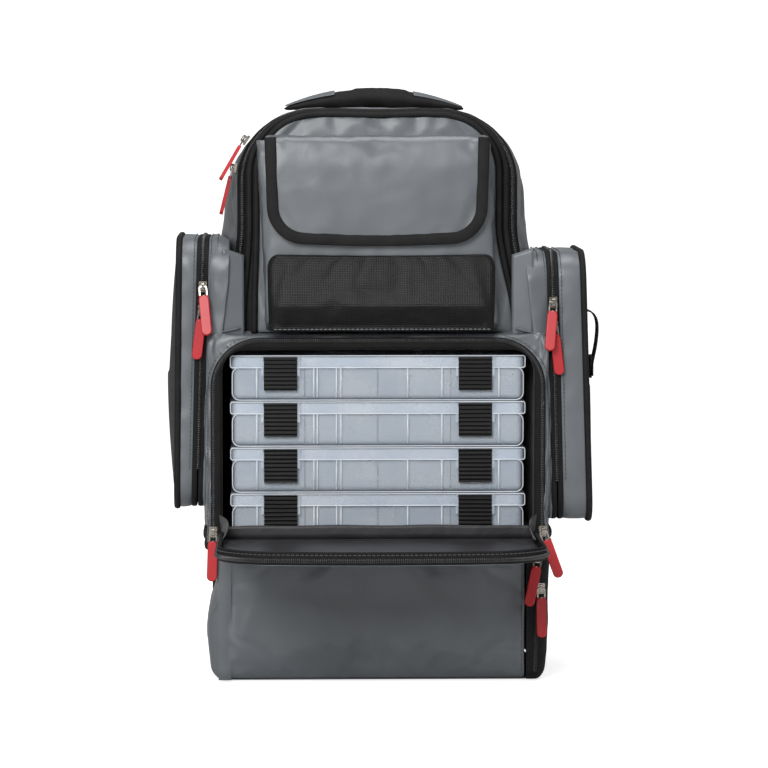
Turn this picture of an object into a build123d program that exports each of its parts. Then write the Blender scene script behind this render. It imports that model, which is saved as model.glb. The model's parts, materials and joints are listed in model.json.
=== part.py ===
from build123d import *
import os
from math import atan2, cos, degrees, radians, sin

# Tackle backpack: a padded bag of sewn fabric panels with four clear tackle boxes inside.
# X is to the right, -Y is the front, +Z is up. The origin is the centre of the base's underside.

# Overall sizes: the bag is cut to fit a stack of four boxes
BODY_D = 198.0
FRONT_Y = -100.0
BOTTOM_H = 130.0
UPPER_H = 207.0
BOX_W = 276.0
BOX_H = 42.4
BOX_COUNT = 4

# Fabric and clearances
WALL = 4.0
SKIN = 2.5
TAPE = 1.2
PANEL_GAP = 0.4
SEAM_GAP = 0.3
OPEN_SIDE = 8.0
OPEN_TOP = 6.1
FRAME_SIDE = 14.0
FRAME_TOP = 13.5

# Places that follow from them
OPEN_HALF = BOX_W / 2 + OPEN_SIDE
HALF_W = OPEN_HALF + FRAME_SIDE
BODY_W = 2 * HALF_W
BACK_Y = FRONT_Y + BODY_D
WALL_FRONT = FRONT_Y + WALL
WALL_BACK = BACK_Y - WALL
SHELF_TOP = BOTTOM_H + WALL
TAPE_FRONT = FRONT_Y - TAPE

# Tackle boxes
BOX_GAP = 0.8
BOX_WALL = 1.8
BOX_INSET = 1.6
LID_H = 11.4
LID_T = 2.0
BOX_CORNER = 7.0
LATCH_W = 31.0
LATCH_H = 31.0
LATCH_T = 2.4
LATCH_RIBS = 8
LATCH_X = BOX_W / 3 - 1
PIN_R = 0.75
PIN_CLEAR = 0.07
RIB_T = 2.4
DIVIDER_T = 1.2
RIB_AT = (-0.41, -0.217, -0.13, 0.054, 0.101, 0.217, 0.41)
BOX_FRONT = WALL_FRONT + 3.5
BOX_D = WALL_BACK - 0.5 - BOX_FRONT
BOX_PITCH = BOX_H + BOX_GAP
STACK_TOP = SHELF_TOP + PANEL_GAP + BOX_COUNT * BOX_PITCH - BOX_GAP

# Tackle opening and its flap
OPEN_R = 22.0
OPEN_Z = STACK_TOP + OPEN_TOP
TAPE_W = 10.5
TACKLE_TOP = OPEN_Z + FRAME_TOP
CROWN_Z = TACKLE_TOP + UPPER_H
RIM_H = 10.5
FLAP_HALF = OPEN_HALF + 2.0
FLAP_R = 50.0
FLAP_FLOOR = 3.0
LIP_H = 14.0
HINGE_Y = TAPE_FRONT - SEAM_GAP - RIM_H + 0.5
HINGE_Z = SHELF_TOP + 0.3
TACKLE_ZIP_X = OPEN_HALF + 8.0

# Arched upper compartment, which narrows towards its front
BAND_HALF = HALF_W - 29.0
BAND_R = 64.0
BAND_W = 9.0
DOOR_Y = FRONT_Y + 18.0
BAND_Y = DOOR_Y + 16.0
DOOR_HALF = BAND_HALF - 18.0
DOOR_TOP = CROWN_Z - 7.0
DOOR_R = BAND_R - 12.0
REAR_LOW = HALF_W - 3.0
REAR_HIGH = BAND_HALF + 5.0
REAR_R = BAND_R + 11.0

# Front pocket with its lid
POCKET_HALF = DOOR_HALF - 4.0
POCKET_TOP = DOOR_TOP - 19.0
POCKET_D = 29.0
POCKET_R = 8.0
PANEL_TOP = TACKLE_TOP + 76.0
PANEL_INSET = 8.0
PANEL_R = 18.0
PANEL_T = 1.4
LID_HALF = POCKET_HALF - 5.0
LID_TOP = POCKET_TOP + 5.0
LID_LOW = PANEL_TOP + 7.0
LID_CORNER = 29.0
LID_SKIN = 2.4

# Side pockets: a padded inner wall, and a hollow outer half that zips to it
SIDE_LOW = BOTTOM_H + 26.0
SIDE_TOP = TACKLE_TOP + 86.0
SIDE_FRONT = FRONT_Y + 6.0
SIDE_BACK = SIDE_FRONT + 140.0
SIDE_OUT = HALF_W + 38.0
SIDE_R = 28.0
SIDE_ZIP_LOW = HALF_W + 11.0
SIDE_ZIP_TOP = HALF_W + 4.5
SIDE_TAPE_W = 4.5
SIDE_TAPE_END = 18.0

# Webbing loop on the right side pocket
LOOP_OUT = 12.0
LOOP_Y = SIDE_FRONT + 34.0
LOOP_TOP = SIDE_TOP - 65.0
LOOP_LOW = LOOP_TOP - 64.0
LOOP_TAIL = 14.0

# Bottom compartment door
DOOR_LEFT = -HALF_W + 16.5
DOOR_RIGHT = HALF_W - 22.5
DOOR_LOW = 7.0
DOOR_HIGH = BOTTOM_H - 5.5

# Zip sliders and pulls, with how far each pull swings sideways and out from its zip
SLIDER_W = 8.0
SLIDER_L = 10.0
SLIDER_T = 2.2
EYE_H = 4.0
EYE = 2.5
WIRE = 1.4
LOOP_W = 8.0
LOOP_L = 12.0
TAB_W = 9.5
TAB_L = 38.0
TAB_T = 3.4
TAB_LAP = 3.2
TACKLE_SLIDER_Z = SHELF_TOP + 8.0
BOTTOM_UPPER = (HALF_W - 10.0, BOTTOM_H - 13.0)
BOTTOM_LOWER = (HALF_W - 7.5, BOTTOM_H - 42.0)
SIDE_SLIDERS = (("left_upper", -1, SIDE_TOP - 41.0, 8, 14), ("left_lower", -1, SIDE_TOP - 63.0, -4, 0),
                ("right_upper", 1, SIDE_TOP - 56.0, -8, 14), ("right_lower", 1, SIDE_TOP - 78.0, 4, 0))
ARCH_SLIDERS = (("arch_upper", 34, 18, 30), ("arch_lower", 10, -10, 14))

# Handle
GRIP_T = 18.0
GRIP_HALF = 87.0
GRIP_FOOT = 45.0
GRIP_TOP = CROWN_Z + 23.0
GRIP_BACK = WALL_BACK - 8.0
GRIP_D = 36.0

# Back pads and harness
PAD_T = 12.0
PAD_R = 20.0
SIDE_PAD_IN = 25.0
SIDE_PAD = (HALF_W - 30.0, 60.0, 260.0)
STRAP_W = 66.0
STRAP_T = 12.0
STRAP_X = 68.0
STRAP_TOP = CROWN_Z - 7.0
STRAP_ROOT = 14.0
PAD_TO_STRAP = 12.0
UPPER_PAD_LOW = TACKLE_TOP + 74.0
UPPER_PAD = (105.0, UPPER_PAD_LOW, STRAP_TOP - STRAP_ROOT - PAD_TO_STRAP - UPPER_PAD_LOW)
STRAP_BOW = 34.0
STRAP_END = 190.0
WEB_W = 25.0
WEB_T = 1.8
WEB_FOOT = 24.0
BUCKLE_LOW = 150.0
BUCKLE_H = 28.0
BUCKLE_SIDE = 4.0

os.makedirs("parts", exist_ok=True)


def write(node, *solids):
    """Save one node, as a single solid or as a group of separate ones."""
    shape = solids[0] if len(solids) == 1 else Compound(children=list(solids))
    export_step(shape, f"parts/{node}.step")


def block(x0, x1, y0, y1, z0, z1):
    """A box given by its limits."""
    return Pos((x0 + x1) / 2, (y0 + y1) / 2, (z0 + z1) / 2) * Box(x1 - x0, y1 - y0, z1 - z0)


def front_plane(y):
    """A drawing plane that faces the front: its x is X, and its y is Z."""
    return Plane(origin=(0, y, 0), x_dir=(1, 0, 0), z_dir=(0, -1, 0))


def plate(outline, y0, y1):
    """An outline drawn in X and Z, as thick as the distance from y0 back to y1."""
    return extrude(front_plane(y1) * outline, amount=y1 - y0)


def rounded_top(half, low, top, radius, half_top=None):
    """An outline with a flat bottom and two rounded top corners."""
    upper = half if half_top is None else half_top
    sketch = make_face(Polyline((-half, low), (half, low), (upper, top), (-upper, top), close=True))
    corners = sketch.vertices().sort_by(Axis.Y)[-2:]
    return fillet(corners, radius)


def between(outline_a, y_a, outline_b, y_b):
    """A straight-sided solid from one outline at y_a to another at y_b."""
    return loft([front_plane(y_a) * outline_a, front_plane(y_b) * outline_b], ruled=True)


# ---------------------------------------------------------------- fixed shell of the bag

def base_panel():
    outline = RectangleRounded(BODY_W, BODY_D, 10)
    return Pos(0, (FRONT_Y + BACK_Y) / 2, 0) * extrude(outline, WALL + 1)


def side_wall(side):
    """A flat padded wall from the base to the floor of the upper compartment."""
    low, high = sorted((side * HALF_W, side * (HALF_W - WALL)))
    return block(low, high, WALL_FRONT, WALL_BACK, WALL + 1, TACKLE_TOP - WALL)


def divider_shelves():
    """The floor under the boxes, and the floor of the upper compartment."""
    inner = HALF_W - WALL
    lower = block(-inner, inner, WALL_FRONT, WALL_BACK, BOTTOM_H, SHELF_TOP)
    upper = block(-HALF_W, HALF_W, FRONT_Y, WALL_BACK, TACKLE_TOP - WALL, TACKLE_TOP)
    return lower, upper


def back_panel():
    lower = block(-HALF_W, HALF_W, WALL_BACK, BACK_Y, WALL + 1, TACKLE_TOP)
    upper = plate(rounded_top(REAR_LOW, TACKLE_TOP, CROWN_Z, REAR_R, REAR_HIGH), WALL_BACK, BACK_Y)
    return lower + upper


def tackle_front():
    """The fixed front face: it frames the tackle opening above and the bottom door below."""
    face = block(-HALF_W, HALF_W, FRONT_Y, WALL_FRONT, WALL + 1, TACKLE_TOP - WALL)
    face -= plate(rounded_top(OPEN_HALF, SHELF_TOP, OPEN_Z, OPEN_R), FRONT_Y - 1, WALL_FRONT + 1)
    face -= block(DOOR_LEFT - PANEL_GAP, DOOR_RIGHT + PANEL_GAP, FRONT_Y - 1, WALL_FRONT + 1,
                  DOOR_LOW - PANEL_GAP, DOOR_HIGH + PANEL_GAP)
    ledge_y = HINGE_Y + 0.3
    return face + block(-FLAP_HALF, FLAP_HALF, ledge_y, FRONT_Y, SHELF_TOP - WALL, SHELF_TOP - 0.1)


def tackle_zip_tape():
    """The fixed half of the tackle zip, sewn round the opening."""
    outer = rounded_top(OPEN_HALF + TAPE_W, SHELF_TOP, OPEN_Z + TAPE_W, OPEN_R + TAPE_W)
    inner = rounded_top(OPEN_HALF, SHELF_TOP - 1, OPEN_Z, OPEN_R)
    return plate(outer, TAPE_FRONT, FRONT_Y) - plate(inner, TAPE_FRONT - 1, FRONT_Y + 1)


def tackle_lip():
    """The soft padded roll along the bottom of the opening, which a box pushes down."""
    y0 = FRONT_Y + PANEL_GAP
    roll = block(-BOX_W / 2, BOX_W / 2, y0, WALL_FRONT - 0.6, SHELF_TOP, SHELF_TOP + LIP_H)
    return fillet(roll.edges().filter_by(Axis.X).group_by(Axis.Z)[-1], 1.2)


def top_gusset():
    """The arched fabric tunnel of the upper compartment, behind its zip."""
    outer_a = rounded_top(BAND_HALF, TACKLE_TOP, CROWN_Z, BAND_R)
    outer_b = rounded_top(REAR_LOW, TACKLE_TOP, CROWN_Z, REAR_R, REAR_HIGH)
    inner_a = rounded_top(BAND_HALF - WALL, TACKLE_TOP, CROWN_Z - WALL, BAND_R - WALL)
    inner_b = rounded_top(REAR_LOW - WALL, TACKLE_TOP, CROWN_Z - WALL, REAR_R - WALL, REAR_HIGH - WALL)
    return between(outer_a, BAND_Y, outer_b, WALL_BACK) - between(inner_a, BAND_Y, inner_b, WALL_BACK)


def arch_zip_tape():
    """The fixed half of the arch zip: a band laid over the front edge of the gusset."""
    outer = rounded_top(BAND_HALF + TAPE, TACKLE_TOP, CROWN_Z + TAPE, BAND_R + TAPE)
    inner = rounded_top(BAND_HALF - SKIN, TACKLE_TOP - 1, CROWN_Z - SKIN, BAND_R - SKIN)
    band = plate(outer, BAND_Y - BAND_W, BAND_Y)
    return band - plate(inner, BAND_Y - BAND_W - 1, BAND_Y + 1)


# ---------------------------------------------------------------- doors of the bag

def tackle_flap():
    """The flap, open and level: a padded floor with a rim on its three free sides."""
    length = OPEN_Z + TAPE_W - 2 - HINGE_Z
    y_near = HINGE_Y - PANEL_GAP
    low = SHELF_TOP - 0.2 - FLAP_FLOOR
    tray = flap_outline(FLAP_HALF - TAPE, y_near, length - TAPE)
    hollow = flap_outline(FLAP_HALF - TAPE - SKIN, y_near + 1, length - TAPE - SKIN + 1)
    body = Pos(0, 0, low) * extrude(tray, FLAP_FLOOR + RIM_H)
    return body - Pos(0, 0, low + FLAP_FLOOR) * extrude(hollow, RIM_H + 1)


def flap_outline(half, y_near, length):
    """The flap's plan: square at the hinge, rounded at the two far corners."""
    y_far = y_near - length
    sketch = make_face(Polyline((-half, y_near), (half, y_near), (half, y_far), (-half, y_far), close=True))
    return fillet(sketch.vertices().sort_by(Axis.Y)[:2], FLAP_R)


def flap_zip_tape():
    """The moving half of the tackle zip, round the flap's rim."""
    length = OPEN_Z + TAPE_W - 2 - HINGE_Z
    y_near = HINGE_Y - PANEL_GAP
    low = SHELF_TOP - 0.2
    outer = flap_outline(FLAP_HALF, y_near, length)
    inner = flap_outline(FLAP_HALF - TAPE, y_near + 1, length - TAPE + 1)
    return Pos(0, 0, low) * (extrude(outer, RIM_H) - Pos(0, 0, -1) * extrude(inner, RIM_H + 2))


def arch_door():
    """The arched front panel, with the sloping rim that carries its piping."""
    edge_y = BAND_Y - BAND_W - SEAM_GAP
    low = TACKLE_TOP + PANEL_GAP
    front = rounded_top(DOOR_HALF, low, DOOR_TOP, DOOR_R)
    edge = rounded_top(BAND_HALF - 1, low, CROWN_Z - 1, BAND_R - 1)
    inner_front = rounded_top(DOOR_HALF - WALL, low - 1, DOOR_TOP - WALL, DOOR_R - WALL)
    inner_edge = rounded_top(BAND_HALF - 1 - SKIN, low - 1, CROWN_Z - 1 - SKIN, BAND_R - 1 - SKIN)
    shell = between(front, DOOR_Y, edge, edge_y)
    return shell - between(inner_front, DOOR_Y + WALL - 0.5, inner_edge, edge_y + 0.01)


def front_pocket():
    """The pocket on the arched panel, open at its top."""
    low = TACKLE_TOP + 2
    y0 = DOOR_Y - POCKET_D
    outer = block(-POCKET_HALF, POCKET_HALF, y0, DOOR_Y, low, POCKET_TOP)
    outer = fillet(outer.edges().filter_by(Axis.Z).group_by(Axis.Y)[0], POCKET_R)
    inner = block(-POCKET_HALF + SKIN, POCKET_HALF - SKIN, y0 + SKIN, DOOR_Y - SKIN, low + SKIN, POCKET_TOP + 1)
    return outer - inner


def front_pocket_panel():
    """The hard-wearing woven panel on the lower half of the pocket."""
    low = TACKLE_TOP + 4
    y0 = DOOR_Y - POCKET_D
    return plate(rounded_top(POCKET_HALF - PANEL_INSET, low, PANEL_TOP, PANEL_R), y0 - PANEL_T, y0)


def pocket_lid():
    """The lid that folds over the pocket: a short top and a long front."""
    y_face = DOOR_Y - POCKET_D - PANEL_T - SEAM_GAP
    outline = Rot(0, 0, 180) * rounded_top(LID_HALF, -LID_TOP, -LID_LOW, LID_CORNER)
    front = plate(outline, y_face - LID_SKIN, y_face)
    top = block(-LID_HALF, LID_HALF, y_face, DOOR_Y - SEAM_GAP, LID_TOP - LID_SKIN, LID_TOP)
    return front + top


def side_profile(inset):
    """A side pocket's outline in Y and Z, drawn round its own centre, with round corners."""
    depth = SIDE_BACK - SIDE_FRONT - 2 * inset
    height = SIDE_TOP - SIDE_LOW - 2 * inset
    return RectangleRounded(depth, height, SIDE_R - inset)


def side_prism(side, x0, x1, inset=0.0):
    """The side pocket's outline, from x0 out to x1 on one side of the bag."""
    centre = (side * x0, (SIDE_FRONT + SIDE_BACK) / 2, (SIDE_LOW + SIDE_TOP) / 2)
    plane = Plane(origin=centre, x_dir=(0, 1, 0), z_dir=(1, 0, 0))
    return extrude(plane * side_profile(inset), side * (x1 - x0))


def zip_wedge(side, shift=0.0):
    """Everything on the bag's side of the leaning zip plane, moved out by shift."""
    rise = SIDE_TOP - SIDE_LOW
    slope = (SIDE_ZIP_LOW - SIDE_ZIP_TOP) / rise
    over = 20
    points = [(side * (SIDE_ZIP_LOW + shift + over * slope), SIDE_LOW - over),
              (side * (SIDE_ZIP_TOP + shift - over * slope), SIDE_TOP + over),
              (side * BAND_HALF, SIDE_TOP + over), (side * BAND_HALF, SIDE_LOW - over)]
    return plate(make_face(Polyline(*points, close=True)), SIDE_FRONT - over, SIDE_BACK + over)


def side_pocket_case(side):
    """The padded wall between the bag and the side pocket's zip."""
    return side_prism(side, HALF_W + PANEL_GAP, SIDE_OUT) & zip_wedge(side)


def side_pocket_door(side):
    """The outer half of a side pocket, hollow and open towards the bag."""
    shell = side_prism(side, HALF_W + PANEL_GAP, SIDE_OUT)
    shell -= side_prism(side, HALF_W - 1, SIDE_OUT - SKIN, SKIN)
    return shell - zip_wedge(side, PANEL_GAP)


def side_zip_tape(side):
    """The fixed zip tape down the front edge of a side pocket."""
    strip = side_pocket_case(side) & zip_wedge(side)
    strip -= zip_wedge(side, -SIDE_TAPE_W)
    reach = SIDE_OUT + 1
    band = strip & block(-reach, reach, SIDE_FRONT - 1, SIDE_FRONT + TAPE + 0.2,
                         SIDE_LOW + SIDE_TAPE_END, SIDE_TOP - SIDE_TAPE_END)
    return Pos(0, -TAPE, 0) * band & block(-reach, reach, SIDE_FRONT - 3, SIDE_FRONT, 0, CROWN_Z)


def side_loop():
    """A webbing loop on the outer face of the right side pocket."""
    x0 = SIDE_OUT
    outer = block(x0, x0 + LOOP_OUT, LOOP_Y, LOOP_Y + WEB_W, LOOP_LOW, LOOP_TOP)
    outer = fillet(outer.edges().filter_by(Axis.Y).group_by(Axis.X)[-1], 5)
    hole = block(x0 + 0.01, x0 + LOOP_OUT - WEB_T, LOOP_Y - 1, LOOP_Y + WEB_W + 1,
                 LOOP_LOW + LOOP_TAIL, LOOP_TOP - WEB_T)
    return outer - hole


def bottom_door():
    """The front panel of the bottom compartment, which swings on its left edge."""
    return block(DOOR_LEFT, DOOR_RIGHT, FRONT_Y, WALL_FRONT, DOOR_LOW, DOOR_HIGH)


def bottom_zip_tape():
    return block(DOOR_RIGHT + PANEL_GAP + 0.3, HALF_W - 0.5, TAPE_FRONT, FRONT_Y, DOOR_LOW + 2, BOTTOM_H - 0.5)


# ---------------------------------------------------------------- tackle boxes

def tub(width, depth, height, radius, y_mid, z_low):
    """A solid block with upright corners and a bottom edge that are rounded."""
    solid = Pos(0, y_mid, z_low) * extrude(RectangleRounded(width, depth, radius), height)
    return fillet(solid.edges().group_by(Axis.Z)[0], radius - 0.6)


def box_base(z0):
    """The tray of a tackle box, with its dividers and the ribs on its front."""
    width = BOX_W - 2 * BOX_INSET
    depth = BOX_D - 2 * BOX_INSET
    y_mid = BOX_FRONT + BOX_D / 2
    rim = BOX_H - LID_T - 0.2
    outer = tub(width, depth, rim, BOX_CORNER, y_mid, z0)
    hollow = tub(width - 2 * BOX_WALL, depth - 2 * BOX_WALL, rim, BOX_CORNER - BOX_WALL, y_mid, z0 + BOX_WALL)
    tray = outer - hollow
    y_front = BOX_FRONT + BOX_INSET
    for share in RIB_AT:
        x = share * BOX_W
        tray += block(x - RIB_T / 2, x + RIB_T / 2, BOX_FRONT + 0.4, y_front + 0.5,
                      z0 + BOX_CORNER, z0 + BOX_H - LID_H - 0.3)
    walls_y = (y_front + BOX_WALL / 2, y_front + depth - BOX_WALL / 2)
    for x in (-width / 4, 0, width / 4):
        tray += block(x - DIVIDER_T / 2, x + DIVIDER_T / 2, *walls_y, z0 + BOX_WALL, z0 + rim - 4)
    half = width / 2 - BOX_WALL / 2
    return tray + block(-half, half, y_mid - DIVIDER_T / 2, y_mid + DIVIDER_T / 2, z0 + BOX_WALL, z0 + rim - 4)


def latch_pivot(z0):
    """Height of a latch's pins above the shelf, just under the lid's top."""
    return z0 + BOX_H - 2.6


def box_lid(z0):
    """The lid: a top plate, a skirt over the tray, and ears that hold the latch pins."""
    y_mid = BOX_FRONT + BOX_D / 2
    low = z0 + BOX_H - LID_H
    outer = Pos(0, y_mid, low) * extrude(RectangleRounded(BOX_W, BOX_D, BOX_CORNER + BOX_INSET), LID_H)
    outer = fillet(outer.edges().group_by(Axis.Z)[-1], 1.2)
    width, depth = BOX_W - 2 * BOX_INSET + 0.1, BOX_D - 2 * BOX_INSET + 0.1
    lid = outer - Pos(0, y_mid, low - 1) * extrude(RectangleRounded(width, depth, BOX_CORNER), LID_H - LID_T + 1)
    y_pin = BOX_FRONT - 0.6 - LATCH_T / 2
    for x in (-LATCH_X, LATCH_X):
        for side in (-1, 1):
            near = x + side * (LATCH_W / 2 + 0.4)
            lid += block(*sorted((near, near + side * 2.2)), y_pin - LATCH_T / 2, BOX_FRONT + 0.5,
                         low - 8, z0 + BOX_H - 0.4)
        pin = Pos(x, y_pin, latch_pivot(z0)) * Rot(0, 90, 0) * Cylinder(PIN_R + PIN_CLEAR, LATCH_W + 4)
        lid -= pin
    return lid


def latches(z0):
    """Both latches of one box: ribbed plates that hang from pins at their top."""
    y_back = BOX_FRONT - 0.6
    y_pin = y_back - LATCH_T / 2
    top = latch_pivot(z0) + 0.9
    found = []
    for x in (-LATCH_X, LATCH_X):
        leaf = block(x - LATCH_W / 2, x + LATCH_W / 2, y_back - LATCH_T, y_back, top - LATCH_H, top)
        for n in range(LATCH_RIBS):
            z = top - 2.5 - n * (LATCH_H - 4) / (LATCH_RIBS - 1)
            leaf -= block(x - LATCH_W / 2 + 1, x + LATCH_W / 2 - 1, y_back - LATCH_T - 1, y_back - LATCH_T + 0.5,
                          z - 0.5, z + 0.5)
        leaf += Pos(x, y_pin, latch_pivot(z0)) * Rot(0, 90, 0) * Cylinder(PIN_R, LATCH_W + 3.6)
        found.append(leaf)
    return found


# ---------------------------------------------------------------- zip sliders and pulls

def slider_body():
    """A slider lying on the plane z = 0: a tapered plate with an eye for the wire loop."""
    outline = make_face(Polyline((-SLIDER_W / 2 + 1, -SLIDER_L / 2), (SLIDER_W / 2 - 1, -SLIDER_L / 2),
                                 (SLIDER_W / 2, SLIDER_L / 2), (-SLIDER_W / 2, SLIDER_L / 2), close=True))
    body = extrude(fillet(outline.vertices(), 1.2), SLIDER_T)
    bridge = block(-1.2, 1.2, -3.6, 3.6, SLIDER_T - 0.1, EYE_H + EYE / 2 + 1)
    bridge = fillet(bridge.edges().filter_by(Axis.X).group_by(Axis.Z)[-1], 1.5)
    return body + bridge - block(-2, 2, -EYE / 2, EYE / 2, EYE_H - EYE / 2, EYE_H + EYE / 2)


def pull():
    """A wire loop with a soft tab, hanging towards -y from the eye at the origin."""
    loop_mid = WIRE / 2 - LOOP_L / 2
    ring = RectangleRounded(LOOP_W, LOOP_L, 2) - RectangleRounded(LOOP_W - 2 * WIRE, LOOP_L - 2 * WIRE, 0.8)
    loop = Pos(0, loop_mid, -WIRE / 2) * extrude(ring, WIRE)
    tab_top = WIRE / 2 - LOOP_L + TAB_LAP
    tab = Pos(0, tab_top - TAB_L / 2, -TAB_T / 2) * extrude(RectangleRounded(TAB_W, TAB_L, TAB_W / 2 - 0.1), TAB_T)
    tab = fillet(tab.edges().group_by(Axis.Z)[-1], 1.0)
    return loop, tab - loop


def zip_frame(point, across, normal):
    """The frame of a slider: x across the zip, y up along it, z out of the tape."""
    return Plane(origin=point, x_dir=across, z_dir=normal)


def add_slider(name, point, across, normal, lean, lift):
    """Write a slider and its pull. lean swings the pull sideways, and lift swings it out."""
    frame = zip_frame(point, across, normal)
    write(f"slider_{name}", frame * slider_body())
    hang = Pos(0, 0, EYE_H) * Rot(-lift, 0, 0) * Rot(0, 0, lean)
    write(f"pull_{name}", *[frame * (hang * solid) for solid in pull()])


def side_zip_x(z):
    """How far out the middle of a side pocket's zip lies at a height."""
    share = (z - SIDE_LOW) / (SIDE_TOP - SIDE_LOW)
    return SIDE_ZIP_LOW + (SIDE_ZIP_TOP - SIDE_ZIP_LOW) * share - 2.5


def sliders():
    forward = (0, -1, 0)
    right = (1, 0, 0)
    y = TAPE_FRONT - PANEL_GAP
    add_slider("tackle_left", (-TACKLE_ZIP_X, y, TACKLE_SLIDER_Z), right, forward, -2, 0)
    add_slider("tackle_right", (TACKLE_ZIP_X, y, TACKLE_SLIDER_Z), right, forward, 20, 0)
    add_slider("bottom_upper", (BOTTOM_UPPER[0], y, BOTTOM_UPPER[1]), right, forward, -12, 8)
    add_slider("bottom_lower", (BOTTOM_LOWER[0], y, BOTTOM_LOWER[1]), right, forward, 1, 0)
    lean = degrees(atan2(SIDE_ZIP_LOW - SIDE_ZIP_TOP, SIDE_TOP - SIDE_LOW))
    y = SIDE_FRONT - TAPE - PANEL_GAP
    tilt = radians(lean)
    for name, side, z, swing, lift in SIDE_SLIDERS:
        across = (cos(tilt), 0, side * sin(tilt))
        add_slider(name, (side * side_zip_x(z), y, z), across, forward, swing + side * lean, lift)
    axis_x, axis_z = -(BAND_HALF - BAND_R), CROWN_Z - BAND_R
    radius = BAND_R + TAPE + PANEL_GAP
    for name, angle, swing, lean_out in ARCH_SLIDERS:
        turn = radians(angle)
        point = (axis_x - radius * cos(turn), BAND_Y - BAND_W / 2, axis_z + radius * sin(turn))
        add_slider(name, point, (0, -1, 0), (-cos(turn), 0, sin(turn)), swing, lean_out - angle)


# ---------------------------------------------------------------- handle and harness

def handle_grip():
    """The padded grab handle, an arch over the back of the crown."""
    foot = CROWN_Z
    outer = make_face([ThreePointArc((-GRIP_HALF, foot), (0, GRIP_TOP), (GRIP_HALF, foot)),
                       Line((GRIP_HALF, foot), (-GRIP_HALF, foot))])
    gap = GRIP_HALF - GRIP_FOOT
    inner = make_face([ThreePointArc((-gap, foot), (0, GRIP_TOP - GRIP_T), (gap, foot)),
                       Line((gap, foot), (-gap, foot))])
    y0 = GRIP_BACK - GRIP_D
    return plate(outer, y0, GRIP_BACK) - plate(inner, y0 - 1, GRIP_BACK + 1)


def back_pads():
    """Three foam pads on the back panel: one across the shoulders and two down the sides."""
    half, low, height = UPPER_PAD
    upper = block(-half, half, BACK_Y, BACK_Y + PAD_T, low, low + height)
    edge, low, height = SIDE_PAD
    sides = [block(*sorted((side * SIDE_PAD_IN, side * edge)), BACK_Y, BACK_Y + PAD_T, low, low + height)
             for side in (-1, 1)]
    return [fillet(pad.edges().filter_by(Axis.Y), PAD_R) for pad in (upper, *sides)]


def strap_path(offset):
    """The bowed line of a shoulder strap, seen from the side, as Y and Z points."""
    return [(BACK_Y + 4 + offset, STRAP_TOP - 2), (BACK_Y + STRAP_BOW - 8 + offset, STRAP_TOP - 36),
            (BACK_Y + STRAP_BOW + offset, (STRAP_TOP + STRAP_END) / 2 - 8),
            (BACK_Y + STRAP_BOW - 8 + offset, STRAP_END)]


def shoulder_strap(side):
    inner, outer = strap_path(0), strap_path(STRAP_T)[::-1]
    plane = Plane(origin=(side * STRAP_X - STRAP_W / 2, 0, 0), x_dir=(0, 1, 0), z_dir=(1, 0, 0))
    anchor = (BACK_Y, STRAP_TOP - STRAP_ROOT)
    return extrude(plane * make_face(Polyline(anchor, *inner, *outer, (BACK_Y, STRAP_TOP), close=True)), STRAP_W)


def strap_webbing(side):
    """The webbing from the end of a shoulder strap down to the bag's lower back edge."""
    y_top = BACK_Y + STRAP_BOW - 8 + STRAP_T / 2
    points = [(y_top, STRAP_END - 0.5), (y_top, BUCKLE_LOW - 30), (BACK_Y, WEB_FOOT)]
    back = [(y + WEB_T, z) for y, z in reversed(points)]
    plane = Plane(origin=(side * STRAP_X - WEB_W / 2, 0, 0), x_dir=(0, 1, 0), z_dir=(1, 0, 0))
    return extrude(plane * make_face(Polyline(*points, *back, close=True)), WEB_W)


def strap_adjuster(side):
    """A ladder-lock buckle round the webbing."""
    y_mid = BACK_Y + STRAP_BOW - 8 + STRAP_T / 2 + WEB_T / 2
    x = side * STRAP_X
    half = WEB_W / 2 + BUCKLE_SIDE
    high = BUCKLE_LOW + BUCKLE_H
    frame = block(x - half, x + half, y_mid - BUCKLE_SIDE, y_mid + BUCKLE_SIDE, BUCKLE_LOW, high)
    slit = WEB_W / 2 + PANEL_GAP / 2
    thick = WEB_T / 2 + SEAM_GAP
    return frame - block(x - slit, x + slit, y_mid - thick, y_mid + thick, BUCKLE_LOW - 1, high + 1)


# ---------------------------------------------------------------- every node

write("base_panel", base_panel())
write("left_wall", side_wall(-1))
write("right_wall", side_wall(1))
write("divider_shelves", *divider_shelves())
write("back_panel", back_panel())
write("tackle_front", tackle_front())
write("tackle_zip_tape", tackle_zip_tape())
write("tackle_lip", tackle_lip())
write("top_gusset", top_gusset())
write("arch_zip_tape", arch_zip_tape())
write("tackle_flap", tackle_flap())
write("flap_zip_tape", flap_zip_tape())
write("arch_door", arch_door())
write("front_pocket", front_pocket())
write("front_pocket_panel", front_pocket_panel())
write("pocket_lid", pocket_lid())
write("bottom_door", bottom_door())
write("fixed_zip_tapes", side_zip_tape(-1), side_zip_tape(1), bottom_zip_tape())
for label, hand in (("left", -1), ("right", 1)):
    write(f"{label}_pocket_case", side_pocket_case(hand))
    write(f"{label}_pocket_door", side_pocket_door(hand))
write("side_loop", side_loop())
for number in range(1, BOX_COUNT + 1):
    box_z = SHELF_TOP + PANEL_GAP + (BOX_COUNT - number) * BOX_PITCH
    write(f"box_{number}_base", box_base(box_z))
    write(f"box_{number}_lid", box_lid(box_z))
    write(f"box_{number}_latches", *latches(box_z))
sliders()
write("handle_grip", handle_grip())
write("back_pads", *back_pads())
write("shoulder_straps", shoulder_strap(-1), shoulder_strap(1))
write("strap_webbing", strap_webbing(-1), strap_webbing(1))
write("strap_adjusters", strap_adjuster(-1), strap_adjuster(1))
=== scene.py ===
import json
from math import cos, pi, radians, sin, sqrt

import bpy
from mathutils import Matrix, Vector, noise


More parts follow.
